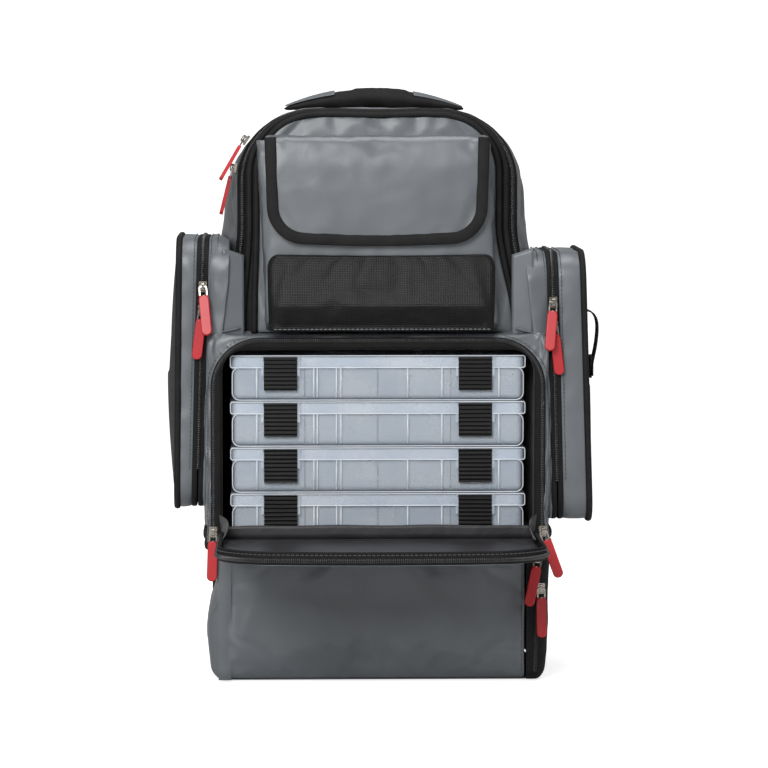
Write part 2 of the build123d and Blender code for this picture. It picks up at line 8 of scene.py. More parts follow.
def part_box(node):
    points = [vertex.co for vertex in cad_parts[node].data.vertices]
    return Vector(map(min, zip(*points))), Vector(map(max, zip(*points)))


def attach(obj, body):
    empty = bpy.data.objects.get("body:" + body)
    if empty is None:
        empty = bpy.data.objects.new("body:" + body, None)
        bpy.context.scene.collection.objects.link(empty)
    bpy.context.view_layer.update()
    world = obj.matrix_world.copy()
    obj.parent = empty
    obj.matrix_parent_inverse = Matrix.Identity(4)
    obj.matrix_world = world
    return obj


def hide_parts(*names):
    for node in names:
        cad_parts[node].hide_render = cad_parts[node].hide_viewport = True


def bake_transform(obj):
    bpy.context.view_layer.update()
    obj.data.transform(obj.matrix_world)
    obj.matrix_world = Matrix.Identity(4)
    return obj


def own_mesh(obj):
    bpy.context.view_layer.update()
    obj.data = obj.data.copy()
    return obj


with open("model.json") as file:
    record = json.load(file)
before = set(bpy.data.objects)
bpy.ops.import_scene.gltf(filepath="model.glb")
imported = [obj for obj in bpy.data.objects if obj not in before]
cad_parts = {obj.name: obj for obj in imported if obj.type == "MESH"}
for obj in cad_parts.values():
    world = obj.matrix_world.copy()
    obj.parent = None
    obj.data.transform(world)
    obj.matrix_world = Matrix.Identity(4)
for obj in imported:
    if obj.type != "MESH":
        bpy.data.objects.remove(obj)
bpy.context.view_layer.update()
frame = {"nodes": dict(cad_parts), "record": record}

# ---------------------------------------------------------------- tackle compartment shell
# One sheet of PVC-coated polyester wraps the front frame and both sides of the compartment.
# It is sewn to the zip tape at the opening and double stitched to the side pockets.


def place(node):
    """The lowest and highest corner of a node, in millimetres."""
    low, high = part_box(node)
    return low * 1000, high * 1000


def linear(code):
    """An sRGB hex colour as linear RGBA."""
    values = [int(code[i:i + 2], 16) / 255 for i in (0, 2, 4)]
    return [v / 12.92 if v <= 0.04045 else ((v + 0.055) / 1.055) ** 2.4 for v in values] + [1.0]


def add(tree, kind, settings=None, inputs=None):
    """A shader node with its settings and its inputs, each a value or another node's output."""
    made = tree.nodes.new("ShaderNode" + kind)
    for name, value in (settings or {}).items():
        setattr(made, name, value)
    for name, value in (inputs or {}).items():
        if isinstance(value, bpy.types.NodeSocket):
            tree.links.new(value, made.inputs[name])
        else:
            made.inputs[name].default_value = value
    return made


def material(name, tones, patch_mm, rough, weave_mm=0.0, weave_depth=0.0, crease_mm=0.0, crease_depth=0.0,
             across="UV", **constant):
    """Two near tones in patches, uneven roughness, a woven bump whose tone carries painted shade and painted highlight,
    and a creased bump, sized in millimetres.
    """
    made = bpy.data.materials.new(name)
    made.use_nodes = True
    tree = made.node_tree
    shader = tree.nodes["Principled BSDF"]
    for key, value in constant.items():
        shader.inputs[key.replace("_", " ")].default_value = value
    where = add(tree, "TexCoord")
    patches = add(tree, "TexNoise", inputs={"Vector": where.outputs["Object"], "Scale": 1000 / patch_mm,
                                            "Detail": 5})
    tone = add(tree, "ValToRGB", inputs={"Fac": patches.outputs["Fac"]})
    for stop, position, colour in zip(tone.color_ramp.elements, (0.35, 0.65), tones):
        stop.position = position
        stop.color = linear(colour)
    colour = tone.outputs["Color"]
    gloss = add(tree, "MapRange", inputs={"Value": patches.outputs["Fac"], "To Min": rough - 0.06,
                                          "To Max": rough + 0.06})
    tree.links.new(gloss.outputs["Result"], shader.inputs["Roughness"])
    normal = None
    if crease_depth:
        folds = add(tree, "TexNoise", inputs={"Vector": where.outputs["Object"], "Scale": 1000 / crease_mm,
                                              "Detail": 4, "Distortion": 0.8})
        normal = add(tree, "Bump", inputs={"Height": folds.outputs["Fac"], "Distance": crease_depth / 1000,
                                           "Strength": 0.6}).outputs["Normal"]
    if weave_depth:
        threads = [add(tree, "TexWave", {"bands_direction": direction},
                       {"Vector": where.outputs[across], "Scale": 100 * pi / weave_mm, "Distortion": 0.3})
                   for direction in ("X", "Y")]
        woven = add(tree, "Math", {"operation": "MULTIPLY"},
                    {0: threads[0].outputs["Fac"], 1: threads[1].outputs["Fac"]}).outputs["Value"]
        inputs = {"Height": woven, "Distance": weave_depth / 1000, "Strength": 0.9}
        if normal:
            inputs["Normal"] = normal
        normal = add(tree, "Bump", inputs=inputs).outputs["Normal"]
        # Painted shade and painted highlight: the weave's colour follows its bump, darker in the hollows between
        # threads and lighter on their tops.
        weave_painted_shade = add(tree, "MapRange", inputs={"Value": woven, "To Min": 1 - weave_depth, "To Max": 1 + weave_depth})
        colour = add(tree, "Mix", {"data_type": "RGBA", "blend_type": "MULTIPLY"},
                     {0: 1.0, 6: colour, 7: weave_painted_shade.outputs["Result"]}).outputs[2]
    tree.links.new(colour, shader.inputs["Base Color"])
    if normal:
        tree.links.new(normal, shader.inputs["Normal"])
    return made


# PVC-coated polyester: a mid grey with a satin sheen, soft creases and a faint ground weave.
coated_polyester = material("pvc_coated_polyester", ("565a5e", "5e6266"), 60, 0.42, 1.6, 0.04, 30, 0.8,
                            Coat_Weight=0.08, Coat_Roughness=0.4)


def surface(name, shape, across, along, cover, thick=1.4, flat=None):
    """A cloth sheet: shape(u, v) gives a point in millimetres. Its UVs are its own lengths in metres."""
    points = [Vector(shape(i / across, j / along)) / 1000 for j in range(along + 1) for i in range(across + 1)]
    row = across + 1
    mesh = bpy.data.meshes.new(name)
    mesh.from_pydata(points, [], [(j * row + i, j * row + i + 1, (j + 1) * row + i + 1, (j + 1) * row + i)
                                  for j in range(along) for i in range(across)])
    spans = []
    for line in ([points[(along // 2) * row + i] for i in range(row)],
                 [points[j * row + across // 2] for j in range(along + 1)]):
        spans.append([0.0])
        for a, b in zip(line, line[1:]):
            spans[-1].append(spans[-1][-1] + (b - a).length)
    layer = mesh.uv_layers.new(name="cloth")
    for loop in mesh.loops:
        where = loop.vertex_index
        layer.data[loop.index].uv = ((points[where][flat[0]], points[where][flat[1]]) if flat
                                     else (spans[0][where % row], spans[1][where // row]))
    obj = bpy.data.objects.new(name, mesh)
    bpy.context.scene.collection.objects.link(obj)
    mesh.materials.append(cover)
    mesh.shade_smooth()
    obj["thick"] = thick
    obj["grid"] = (across, along)
    return obj


def inset(obj, index):
    """How many rows or columns a vertex of a sheet is from its nearest sewn edge."""
    across, along = obj["grid"]
    i, j = index % (across + 1), index // (across + 1)
    return min(i, across - i, j, along - j)


def crumple(obj, height, size, seed, hold=2):
    """Push the cloth out and in by soft ridged folds that fade to nothing at its sewn edges."""
    shift = Vector((seed * 3.1, seed * 1.7, seed * 0.9))
    normals = [v.normal.copy() for v in obj.data.vertices]
    for v in obj.data.vertices:
        keep = min(1.0, inset(obj, v.index) / hold) if hold else 1.0
        at = v.co * (1000 / size) + shift
        fold = 0.7 - abs(noise.noise(at)) * 2.4 + 0.6 * noise.noise(at * 2.3)
        v.co += normals[v.index] * (fold * height * keep / 1000)


def settle(obj, slack, pressure, cap, free=None, frames=20):
    """Let the cloth find its own folds: cut a little too large, sewn at its edges and pushed out."""
    rest = [v.co.copy() for v in obj.data.vertices]
    sewn = obj.vertex_groups.new(name="sewn")
    sewn.add([i for i in range(len(rest)) if not (free(i) if free else inset(obj, i) > 0)], 1.0, "REPLACE")
    cloth = obj.modifiers.new("cloth", "CLOTH")
    wanted = {"vertex_group_mass": "sewn", "quality": 6, "mass": 0.15, "tension_stiffness": 20,
              "compression_stiffness": 20, "shear_stiffness": 8, "bending_stiffness": 1.2, "shrink_min": -slack,
              "use_pressure": True, "uniform_pressure_force": pressure}
    for key, value in wanted.items():
        setattr(cloth.settings, key, value)
    cloth.settings.effector_weights.gravity = 0
    cloth.collision_settings.use_collision = False
    cloth.point_cache.frame_end = frames
    for step in range(1, frames + 1):
        bpy.context.scene.frame_set(step)
    settled = obj.evaluated_get(bpy.context.evaluated_depsgraph_get()).to_mesh()
    moved = [v.co.copy() for v in settled.vertices]
    obj.modifiers.clear()
    obj.vertex_groups.clear()
    bpy.context.scene.frame_set(1)
    for v, start, end in zip(obj.data.vertices, rest, moved):
        shift = end - start
        v.co = start + shift * min(1.0, cap / 1000 / max(shift.length, 1e-9))


def sew(obj, body, slot, *nodes, levels=1, offset=-1.0):
    """Give a sheet its thickness, round it, and sew it to the body that it rides on."""
    if obj["thick"]:
        thicken = obj.modifiers.new("thickness", "SOLIDIFY")
        thicken.thickness = obj["thick"] / 1000
        thicken.offset = offset
    if levels:
        rounding = obj.modifiers.new("rounding", "SUBSURF")
        rounding.levels = rounding.render_levels = levels
    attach(obj, body)
    if nodes:
        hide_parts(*nodes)
    return obj


def arch(half, low, top, radius, t, half_top=None):
    """A point on an arch, t from 0 at the foot of the left leg to 1 at the foot of the right one."""
    upper = half if half_top is None else half_top
    side = -1 if t < 0.5 else 1
    s = 2 * min(t, 1 - t)
    lean = (upper - half) / (top - low)
    knee = half + lean * (top - radius - low)
    if s < 0.55:
        z = low + (top - radius - low) * s / 0.55
        return side * (half + lean * (z - low)), z
    if s < 0.8:
        turn = (s - 0.55) / 0.25 * pi / 2
        return side * (knee - radius + radius * cos(turn)), top - radius + radius * sin(turn)
    return side * (knee - radius) * (1 - s) / 0.2, top


def ease(k):
    """A smooth step from 0 to 1."""
    k = min(1.0, max(0.0, k))
    return k * k * (3 - 2 * k)


front_low, front_high = place("tackle_front")
tape_low, tape_high = place("tackle_zip_tape")
shelf_low, shelf_high = place("divider_shelves")
back_low, back_high = place("back_panel")
gusset_low, gusset_high = place("top_gusset")
wall_x = front_high.x
face_y = tape_high.y
floor_z = tape_low.z
zip_half = tape_high.x - 3
zip_top = tape_high.z - 2
ZIP_R = 44


def tackle_skin(u, v):
    """From the zip across the frame to its fold, then back along the side, or over the top ledge."""
    inner_x, inner_z = arch(zip_half + 1, floor_z - 3, zip_top + 1, ZIP_R, u)
    fold_x, fold_z = arch(wall_x, floor_z - 3, shelf_high.z + 2, 14, u)
    s = 2 * min(u, 1 - u)
    reach = 22 + (back_high.y - face_y - 24) * ease((0.66 - s) / 0.12)
    if v < 0.4:
        k = v / 0.4
        return (inner_x + (fold_x - inner_x) * k, face_y - 1 - 2.5 * sin(pi * k) + 2.5 * k,
                inner_z + (fold_z - inner_z) * k)
    k = (v - 0.4) / 0.6
    return fold_x, face_y + 1.5 + reach * k, fold_z


skin = surface("tackle_shell_fabric", tackle_skin, 120, 30, coated_polyester)
settle(skin, 0.02, 1.0, 3)
crumple(skin, 0.6, 30, 1)
sew(skin, "bag", "grey_fabric", "tackle_front", "left_wall", "right_wall")
for side in (-1, 1):
    def shoulder(u, v):
        """The ledge beside the upper compartment, from its foot out to the fold."""
        y = face_y + 2 + (back_high.y - face_y - 4) * v
        foot = 128 + 28 * min(1, max(0, (y + 66) / 160))
        return side * (foot + (wall_x - 0.5 - foot) * u), y, shelf_high.z + 1.2 + 5 * (1 - u) ** 2
    ledge = surface(f"shoulder_ledge_{side + 1}", shoulder, 10, 36, coated_polyester)
    crumple(ledge, 0.8, 24, 5 + side, 1)
    sew(ledge, "bag", "grey_fabric")

# ---------------------------------------------------------------- bottom compartment shell
# The same coated fabric wraps the corners, sides and back of the bottom compartment.
# It is pinched below the shelf, full near the base, and tucks under a stiffened base board.

door_low, door_high = place("bottom_door")
CORNER_R = 15


def wrap(t, start, end, half, front, back, radius):
    """A point on the plan of the bag, from start on the front, round the left, back and right, to end."""
    run = {"side": back - front - 2 * radius, "back": 2 * (half - radius), "turn": radius * pi / 2}
    legs = [half + start - radius, "turn", "side", "turn", "back", "turn", "side", "turn", half - end - radius]
    left = t * sum(run.get(leg, leg) for leg in legs)
    x, y, heading = start, front, pi
    for leg in legs:
        step = min(left, run.get(leg, leg))
        if leg == "turn":
            centre = x - radius * cos(heading + pi / 2), y - radius * sin(heading + pi / 2)
            centre = x + radius * sin(heading), y - radius * cos(heading)
            heading -= step / radius
            x = centre[0] - radius * sin(heading)
            y = centre[1] + radius * cos(heading)
        else:
            x += step * cos(heading)
            y += step * sin(heading)
        left -= step
        if left <= 0:
            break
    return x, y, heading


def sag(x, z):
    """How far the soft wall stands out at a height: more slack at the left than at the taut right."""
    k = z / floor_z
    full = 3.4 * sin(pi * min(1, k / 0.58)) - 4.5 * max(0, sin(pi * (k - 0.45) / 0.5))
    return full - 5.5 * ease((0.9 - k) / 0.3) if x < 0 else 0.25 * full + 2.5 - 7 * (1 - k)


def bottom_wall(t, v):
    """The compartment's wall: t goes round from the door's hinge to its zip, and v up."""
    z = 1.5 + (floor_z - 3) * v
    x, y, heading = wrap(t, door_low.x - 0.8, door_high.x + 1, wall_x, face_y, back_high.y - 3.5, CORNER_R)
    out = sag(x, z) * abs(sin(heading)) ** 0.5
    tuck = 7 * max(0, 1 - z / 11) ** 2
    return x - (out - tuck) * sin(heading), y - tuck * cos(heading), z


GREY_SHARE = 0.93
skin = surface("bottom_shell_fabric", lambda u, v: bottom_wall(GREY_SHARE * (1 - u), v), 150, 26, coated_polyester)
settle(skin, 0.02, 1.0, 3)
crumple(skin, 0.8, 26, 2)
sew(skin, "bag", "grey_fabric")
board = surface("base_board_fabric", lambda u, v: ((2 * u - 1) * 151 * (1 - 0.05 * abs(2 * v - 1) ** 8),
                                                    face_y + 7 + (back_high.y - face_y - 14) * v, 0.3), 24, 16,
                coated_polyester, 3.0)
sew(board, "bag", "grey_fabric", "base_panel", offset=1.0)

# Black neoprene-like binding covers the seam between the two compartments.
waist_cloth = material("waist_binding", ("141415", "1c1c1d"), 12, 0.75, 1.5, 0.2, Specular_IOR_Level=0.25)

# ---------------------------------------------------------------- lining and shelves
# Black felt-like nylon lines the compartments and covers their shelves.
# A roll of smooth nylon is sewn along the bottom of the opening, in front of the lowest box.

# Brushed nylon lining: soft black with a fine nap that scatters light.
felt_lining = material("brushed_nylon_lining", ("303031", "3e3e3f"), 6, 0.85, crease_mm=4, crease_depth=0.5,
                       Sheen_Weight=0.15, Specular_IOR_Level=0.2)
# Nylon taffeta: smooth black with a dull shine along its wrinkles.
taffeta = material("nylon_taffeta", ("232225", "2b2a2d"), 40, 0.45, crease_mm=18, crease_depth=1.2,
                   Specular_IOR_Level=0.4)


def lining_shape(u, v):
    x, z = arch(zip_half - 3, floor_z + 0.4, shelf_high.z - 9, 10, u)
    near_x, near_z = arch(zip_half - 7.5, floor_z + 0.4, zip_top - 8, 22, u)
    k = ease(v / 0.12)
    return near_x + (x - near_x) * k, face_y + (shelf_high.y - face_y - 1) * v, near_z + (z - near_z) * k


lining = surface("tackle_lining", lining_shape, 90, 30, felt_lining, 0.8)
crumple(lining, 0.6, 18, 3)
sew(lining, "bag", "black_lining", levels=0)
shelf = surface("shelf_fabric", lambda u, v: ((2 * u - 1) * 154, face_y + 1 + (shelf_high.y - face_y - 1) * v,
                                               floor_z - 0.3), 20, 14, felt_lining, 3.4)
sew(shelf, "bag", "black_lining", levels=0)
upper_floor = surface("upper_floor_fabric", lambda u, v: ((2 * u - 1) * (128 + 27 * v),
                                                           -79 + (shelf_high.y + 78) * v, shelf_high.z - 0.4),
                      24, 14, felt_lining, 3.0)
sew(upper_floor, "bag", "black_lining", "divider_shelves", levels=0)
lip_low, lip_high = place("tackle_lip")


def lip_shape(u, v):
    """A soft roll: up its front, over its top and down behind it."""
    top = lip_high.z - 0.8 - 1.5 * abs(2 * u - 1) ** 6 + 0.4 * sin(u * 21)
    half = (lip_high.y - lip_low.y) / 2
    return ((2 * u - 1) * (lip_high.x + 7), (lip_low.y + lip_high.y) / 2 - 0.4 - half * 1.1 * cos(pi * v),
            floor_z + 0.3 + (top - floor_z) * min(1, sin(pi * v) * 1.6))


lip = surface("tackle_lip_roll", lip_shape, 60, 12, taffeta, 0.6)
sew(lip, "bag", "black_lining", "tackle_lip", levels=0)
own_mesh(lip)

# ---------------------------------------------------------------- tackle zip
# A wide coil zip runs up both legs of the opening and over its top on a black woven tape.

# Woven zip tape: matt black with fine ribs along it.
zip_tape = material("woven_zip_tape", ("0f0f10", "161617"), 12, 0.75, 0.9, 0.12, Specular_IOR_Level=0.2)
# Nylon coil: hard black plastic that glints on each turn.
nylon_coil = material("nylon_coil", ("171717", "2c2b2b"), 5, 0.3, Coat_Weight=0.25)


def track(shape, count=160):
    """Points along a path in millimetres: shape(t) for t from 0 to 1."""
    return [Vector(shape(i / count)) for i in range(count + 1)]


def even(path, step):
    """Points spaced evenly along a path, each with the direction of the path there."""
    spots, due = [], step / 2
    for a, b in zip(path, path[1:]):
        length = (b - a).length
        while due <= length and length > 0:
            spots.append((a.lerp(b, due / length), (b - a).normalized()))
            due += step
        due -= length
    return spots


def row(name, path, facing, step, size, cover, body, slot):
    """A row of small raised blocks along a path, such as coil turns or stitches: size is length, width, rise."""
    points, faces = [], []
    for at, along in even(path, step):
        up = Vector(facing(at) if callable(facing) else facing)
        across = along.cross(up).normalized()
        up = across.cross(along).normalized()
        base = len(points)
        for rise, share in ((-0.2, 1.0), (0.6, 1.0), (1.0, 0.55)):
            for a, b in ((-1, -1), (1, -1), (1, 1), (-1, 1)):
                points.append((at + along * (a * size[0] / 2 * share) + across * (b * size[1] / 2 * (0.4 + 0.6 * share))
                               + up * (rise * size[2])) / 1000)
        for ring in (0, 4):
            faces += [tuple(base + ring + k for k in (i, (i + 1) % 4, (i + 1) % 4 + 4, i + 4)) for i in range(4)]
        faces.append(tuple(base + 8 + k for k in range(4)))
    mesh = bpy.data.meshes.new(name)
    mesh.from_pydata(points, [], faces)
    mesh.materials.append(cover)
    mesh.shade_smooth()
    obj = bpy.data.objects.new(name, mesh)
    bpy.context.scene.collection.objects.link(obj)
    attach(obj, body)
    return obj


def edging(name, path, facing, profile, cover, body, slot, *nodes, closed=False):
    """A tape, cord or binding: a profile of (across, up) points in millimetres run along a path."""
    count = len(path)
    points = []
    for i, at in enumerate(path):
        before = path[(i - 1) % count] if closed else path[max(0, i - 1)]
        after = path[(i + 1) % count] if closed else path[min(count - 1, i + 1)]
        along = (after - before).normalized()
        up = Vector(facing(at) if callable(facing) else facing)
        across = along.cross(up).normalized()
        up = across.cross(along).normalized()
        points += [(at + across * a + up * b) / 1000 for a, b in profile]
    size = len(profile)
    faces = [(i * size + k, i * size + (k + 1) % size, (i + 1) % count * size + (k + 1) % size,
              (i + 1) % count * size + k) for i in range(count if closed else count - 1) for k in range(size)]
    if not closed:
        faces += [tuple(range(size))[::-1], tuple((count - 1) * size + k for k in range(size))]
    mesh = bpy.data.meshes.new(name)
    mesh.from_pydata(points, [], faces)
    layer = mesh.uv_layers.new(name="cloth")
    reach = [0.0]
    for a, b in zip(path, path[1:]):
        reach.append(reach[-1] + (b - a).length / 1000)
    for loop in mesh.loops:
        layer.data[loop.index].uv = (profile[loop.vertex_index % size][0] / 1000, reach[loop.vertex_index // size])
    mesh.materials.append(cover)
    mesh.shade_smooth()
    obj = bpy.data.objects.new(name, mesh)
    bpy.context.scene.collection.objects.link(obj)
    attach(obj, body)
    if nodes:
        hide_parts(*nodes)
    return obj


def oval(wide, high, sides=12):
    """A rounded profile, given its half width and half height."""
    return [(wide * cos(2 * pi * k / sides), high * sin(2 * pi * k / sides)) for k in range(sides)]


for n, height in enumerate((floor_z - 5, floor_z + 5)):
    edging(f"waist_binding_{n}",
           [Vector((*wrap(i / 120, door_low.x - 0.8, door_high.x + 8, wall_x + 0.6 + n, face_y, back_high.y, CORNER_R)[:2],
                    height)) for i in range(121)],
           (0, 0, 1), oval(2.2, 5.4), waist_cloth, "bag", "black_lining")
FORWARD = (0, -1, 0)
COIL = 1.7
coil_size = (1.0, 3.6, 1.4)
# Bonded nylon thread: slightly lighter than the cloth that it sinks into.
grey_thread = material("grey_thread", ("3a3c3f", "46484b"), 3, 0.6)
stitch_step, stitch_size = 4.2, (3.0, 0.7, 0.5)


def opening_tape(u, v):
    outer_x, outer_z = arch(zip_half + 2.5, floor_z - 2, zip_top + 2.5, ZIP_R + 2.5, u)
    inner_x, inner_z = arch(zip_half - 7.5, floor_z - 2, zip_top - 8, 22, u)
    return outer_x + (inner_x - outer_x) * v, face_y - 1.4 - 0.6 * sin(pi * v), outer_z + (inner_z - outer_z) * v


tape = surface("tackle_opening_tape", opening_tape, 120, 4, zip_tape, 0.8)
sew(tape, "bag", "black_lining", "tackle_zip_tape", levels=0)
opening = track(lambda t: (*arch(zip_half, floor_z - 1, zip_top, ZIP_R, t), 0)[:1] + (face_y - 1.8,)
                + (arch(zip_half, floor_z - 1, zip_top, ZIP_R, t)[1],))
row("tackle_coil", opening, FORWARD, COIL, coil_size, nylon_coil, "bag", "black_plastic")
row("tackle_frame_stitches", track(lambda t: (arch(zip_half + 5.5, floor_z, zip_top + 5, ZIP_R + 5, t)[0],
                                              face_y - 3.0, arch(zip_half + 5.5, floor_z, zip_top + 5, ZIP_R + 5, t)[1])),
    FORWARD, stitch_step, stitch_size, grey_thread, "bag", "grey_fabric")

# ---------------------------------------------------------------- tackle flap
# The padded front of the tackle compartment, let down level on its sewn hinge.
# Coated fabric below, a smooth lining above, and the other half of the zip round its rim.

flap_low, flap_high = place("tackle_flap")
rim_low, rim_high = place("flap_zip_tape")
flap_half = rim_high.x - 0.6
flap_depth = flap_high.y - rim_low.y - 0.6
FLAP_R = 50


def tongue(u, v, half, length, radius):
    """A point of a panel that is square at its start and has two round corners at its end."""
    if v < 0.6:
        return half * (2 * u - 1), (length - radius) * v / 0.6
    turn = (v - 0.6) / 0.4 * pi / 2
    return (half - radius + radius * cos(turn)) * (2 * u - 1), length - radius + radius * sin(turn)


def droop(x, d):
    """How far the flap lies below level: its zip holds the free edge up, least of all in the middle."""
    return (1.5 * (1 - (x / flap_half) ** 2) - 4.5) * (d / flap_depth) ** 1.3


def flap_sheet(z, shrink, puff):
    def shape(u, v):
        x, d = tongue(u, v, flap_half - shrink, flap_depth - shrink, FLAP_R)
        swell = puff * sin(pi * u) ** 0.5 * sin(pi * v) ** 0.5
        return x, flap_high.y - d, z + swell - droop(x, d)
    return shape


lining = surface("flap_lining", flap_sheet(flap_low.z + 3.0, 2, 0.6), 56, 36, taffeta, 0.8)
settle(lining, 0.015, 1.0, 1.5)
sew(lining, "flap", "black_lining")
under = surface("flap_outer_fabric", flap_sheet(flap_low.z + 0.4, 0.5, -0.2), 56, 36, coated_polyester, 0.8)
sew(under, "flap", "grey_fabric", "tackle_flap")


def flap_edge(t, z=0.0, out=0.0):
    x, d = arch(flap_half + out, 0, flap_depth + out, FLAP_R, t)
    return x, flap_high.y - d, z - droop(x, d)


def flap_band(u, v):
    return flap_edge(u, flap_low.z + 0.2 + (rim_high.z - flap_low.z - 2.5) * v, 1.6 * sin(pi * v) - 0.8)


def off_flap(at):
    """Straight away from the flap's rim, in plan."""
    corner_y = flap_high.y - flap_depth + FLAP_R
    inside = max(-flap_half + FLAP_R, min(flap_half - FLAP_R, at.x))
    return Vector((at.x - inside, min(0, at.y - corner_y), 0.0)) if at.y < corner_y else Vector((at.x, 0, 0))


band = surface("flap_zip_band", flap_band, 120, 6, zip_tape, 0.8)
sew(band, "flap", "black_lining", "flap_zip_tape")
row("flap_coil", track(lambda t: flap_edge(t, flap_low.z + 5.0, 1.4)), off_flap, COIL, coil_size, nylon_coil, "flap",
    "black_plastic")
edging("flap_rim_binding", track(lambda t: flap_edge(t, rim_high.z - 2.2, -1.6), 100), off_flap, oval(1.5, 1.5, 8),
       zip_tape, "flap", "black_lining")
row("flap_rim_stitches", track(lambda t: flap_edge(t, rim_high.z - 3.4, 0.6)), off_flap, stitch_step, stitch_size,
    grey_thread, "flap", "black_lining")
hinge_strip = surface("flap_hinge_fabric", lambda u, v: ((2 * u - 1) * (flap_half - 1), face_y + 2 - 15 * v,
                                                         floor_z - 0.1 + 1.2 * sin(pi * v)), 40, 6, taffeta, 0.6)
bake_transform(hinge_strip)
for side in (-1, 1):
    foot = Vector((side * (flap_half - 2), face_y - 7, floor_z + 0.5))
    high = Vector((side * (zip_half - 5), face_y - 2.5, floor_z + 24))
    far = Vector((side * (flap_half - 3), flap_high.y - 44, rim_high.z - 4))

    def web(u, v):
        """The three-cornered web of fabric between the frame and the flap's side."""
        point = foot + (high - foot) * v * (1 - u) + (far - foot) * v * u
        return point - Vector((side * 7 * sin(pi * u) * v, 0, -4 * sin(pi * u) * v))
    gusset = surface(f"flap_gusset_{side + 1}", web, 12, 12, felt_lining, 0.0)
    crumple(gusset, 1.2, 10, 7 + side, 2)
    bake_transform(gusset)

# ---------------------------------------------------------------- arched front panel
# The front of the upper compartment: coated fabric inside two rows of thick corded piping.
# It unzips round the arch and folds down on its bottom edge.

arch_low, arch_high = place("arch_door")
ARCH_R = 52
panel_half = arch_high.x - 19


def spread(x, z):
    """Both legs of the arch splay out towards their feet, the right one most."""
    low = ease((430 - z) / 95)
    return x + 15 * low * ease(x / 60) - 10 * low * ease((-x - 104) / 28)


def band_point(t, half, top, radius, y, low=None):
    """A point on the arch's band, which dips a little at the middle of its crown."""
    x, z = arch(half, (arch_low.z if low is None else low), top, radius, t)
    crown = ease((z - top + 8) / 8) * max(0, 1 - (x / (half - radius + 12)) ** 2)
    return spread(x, z), y, z + 1.5 * crown - 1.6 * max(0, 1 - (x / 40) ** 2) * crown


def arch_face(u, v):
    x, d = tongue(u, v, panel_half, arch_high.z - 1.5 - arch_low.z, ARCH_R)
    z = arch_low.z + 0.5 + d
    return spread(x, z), arch_low.y - 1 - 3.0 * (sin(pi * u) * sin(pi * min(1, v * 1.1))) ** 0.5, z


face = surface("arch_panel_fabric", arch_face, 60, 54, coated_polyester)
settle(face, 0.015, 1.5, 2.5)
crumple(face, 0.6, 34, 9)
sew(face, "arch_panel", "grey_fabric", "arch_door")
# Black polyester binding over cord: matt, with a fine cross rib.
black_binding = material("grosgrain_binding", ("111010", "1a1919"), 14, 0.72, 1.5, 0.25, Specular_IOR_Level=0.25)


def rim_cloth(u, v):
    return Vector(band_point(u, panel_half - 1, arch_high.z - 3, ARCH_R, arch_low.y - 0.5)).lerp(
        Vector(band_point(u, panel_half + 13, arch_high.z + 0.5, ARCH_R + 10, arch_low.y + 4)), v)


rim = surface("arch_panel_rim", rim_cloth, 110, 5, black_binding)
sew(rim, "arch_panel", "black_webbing")
for label, out, forward in (("inner", 2.0, 1.8), ("outer", 8.6, -0.8)):
    edging(f"arch_piping_{label}",
           track(lambda t: band_point(t, panel_half + out, arch_high.z - 3 + 0.45 * out, ARCH_R + 0.7 * out,
                                      arch_low.y - forward), 130),
           FORWARD, oval(2.9, 2.7), black_binding, "arch_panel", "black_webbing")


def arch_tape(u, v):
    return Vector(band_point(u, panel_half + 12.4, arch_high.z - 0.5, ARCH_R + 10, arch_low.y + 2.4, shelf_high.z - 3)
                  ).lerp(Vector(band_point(u, panel_half + 20.5, arch_high.z + 2, ARCH_R + 13.5, arch_low.y + 12,
                                           shelf_high.z - 3)), v)


tape = surface("arch_opening_tape", arch_tape, 110, 5, zip_tape, 0.8)
sew(tape, "bag", "black_lining", "arch_zip_tape")
row("arch_coil", track(lambda t: band_point(t, panel_half + 15.2, arch_high.z + 0.6, ARCH_R + 11.5, arch_low.y + 3.2)),
    FORWARD, COIL, coil_size, nylon_coil, "bag", "black_plastic")

# ---------------------------------------------------------------- upper compartment tunnel and back
# Coated fabric runs from the arch's zip to the back, with a black lining inside it.
# The back is a tough plain-woven cloth.


def tunnel(u, v, inset=0.0):
    front_x, front_z = arch(131.2 - inset, shelf_high.z - 1, gusset_high.z - inset, 65, u)
    rear_x, rear_z = arch(gusset_high.x - inset, shelf_high.z - 1, gusset_high.z - 9 - inset, 98, u,
                          gusset_high.x - 30 - inset)
    puff = 2.2 * sin(pi * v)
    x = front_x + (rear_x - front_x) * v
    z = front_z + (rear_z - front_z) * v
    return spread(x, z) * (1 - v) + x * v + puff * x / 150, arch_low.y + 11 + (back_high.y - arch_low.y - 13) * v, \
        z + puff * 0.4 * (z > 480)


skin = surface("upper_side_fabric", tunnel, 110, 34, coated_polyester)
settle(skin, 0.02, 1.0, 4)
crumple(skin, 1.2, 32, 11)
sew(skin, "bag", "grey_fabric", "top_gusset")
lining = surface("upper_lining", lambda u, v: tunnel(u, v, 4.5), 60, 16, felt_lining, 0.0)
sew(lining, "bag", "black_lining", levels=0)
# Plain-woven back cloth: black, coarse and matt.
back_cloth = material("woven_back_cloth", ("131416", "1b1c1e"), 18, 0.8, 1.6, 0.3, Specular_IOR_Level=0.25)


def back_width(z):
    if z < shelf_high.z:
        return wall_x - 1
    lean = gusset_high.x - 30 * (min(z, gusset_high.z - 107) - shelf_high.z) / (gusset_high.z - 9 - shelf_high.z)
    drop = max(0, z - gusset_high.z + 9 + 98)
    return lean - 98 + sqrt(max(0, 98 ** 2 - drop ** 2))


back = surface("back_fabric", lambda u, v: ((2 * u - 1) * back_width(6 + (gusset_high.z - 17) * v), back_high.y - 1,
                                             6 + (gusset_high.z - 17) * v), 40, 80, back_cloth, 2.0)
crumple(back, 0.6, 40, 12)
sew(back, "bag", "black_lining", "back_panel", offset=0.0)

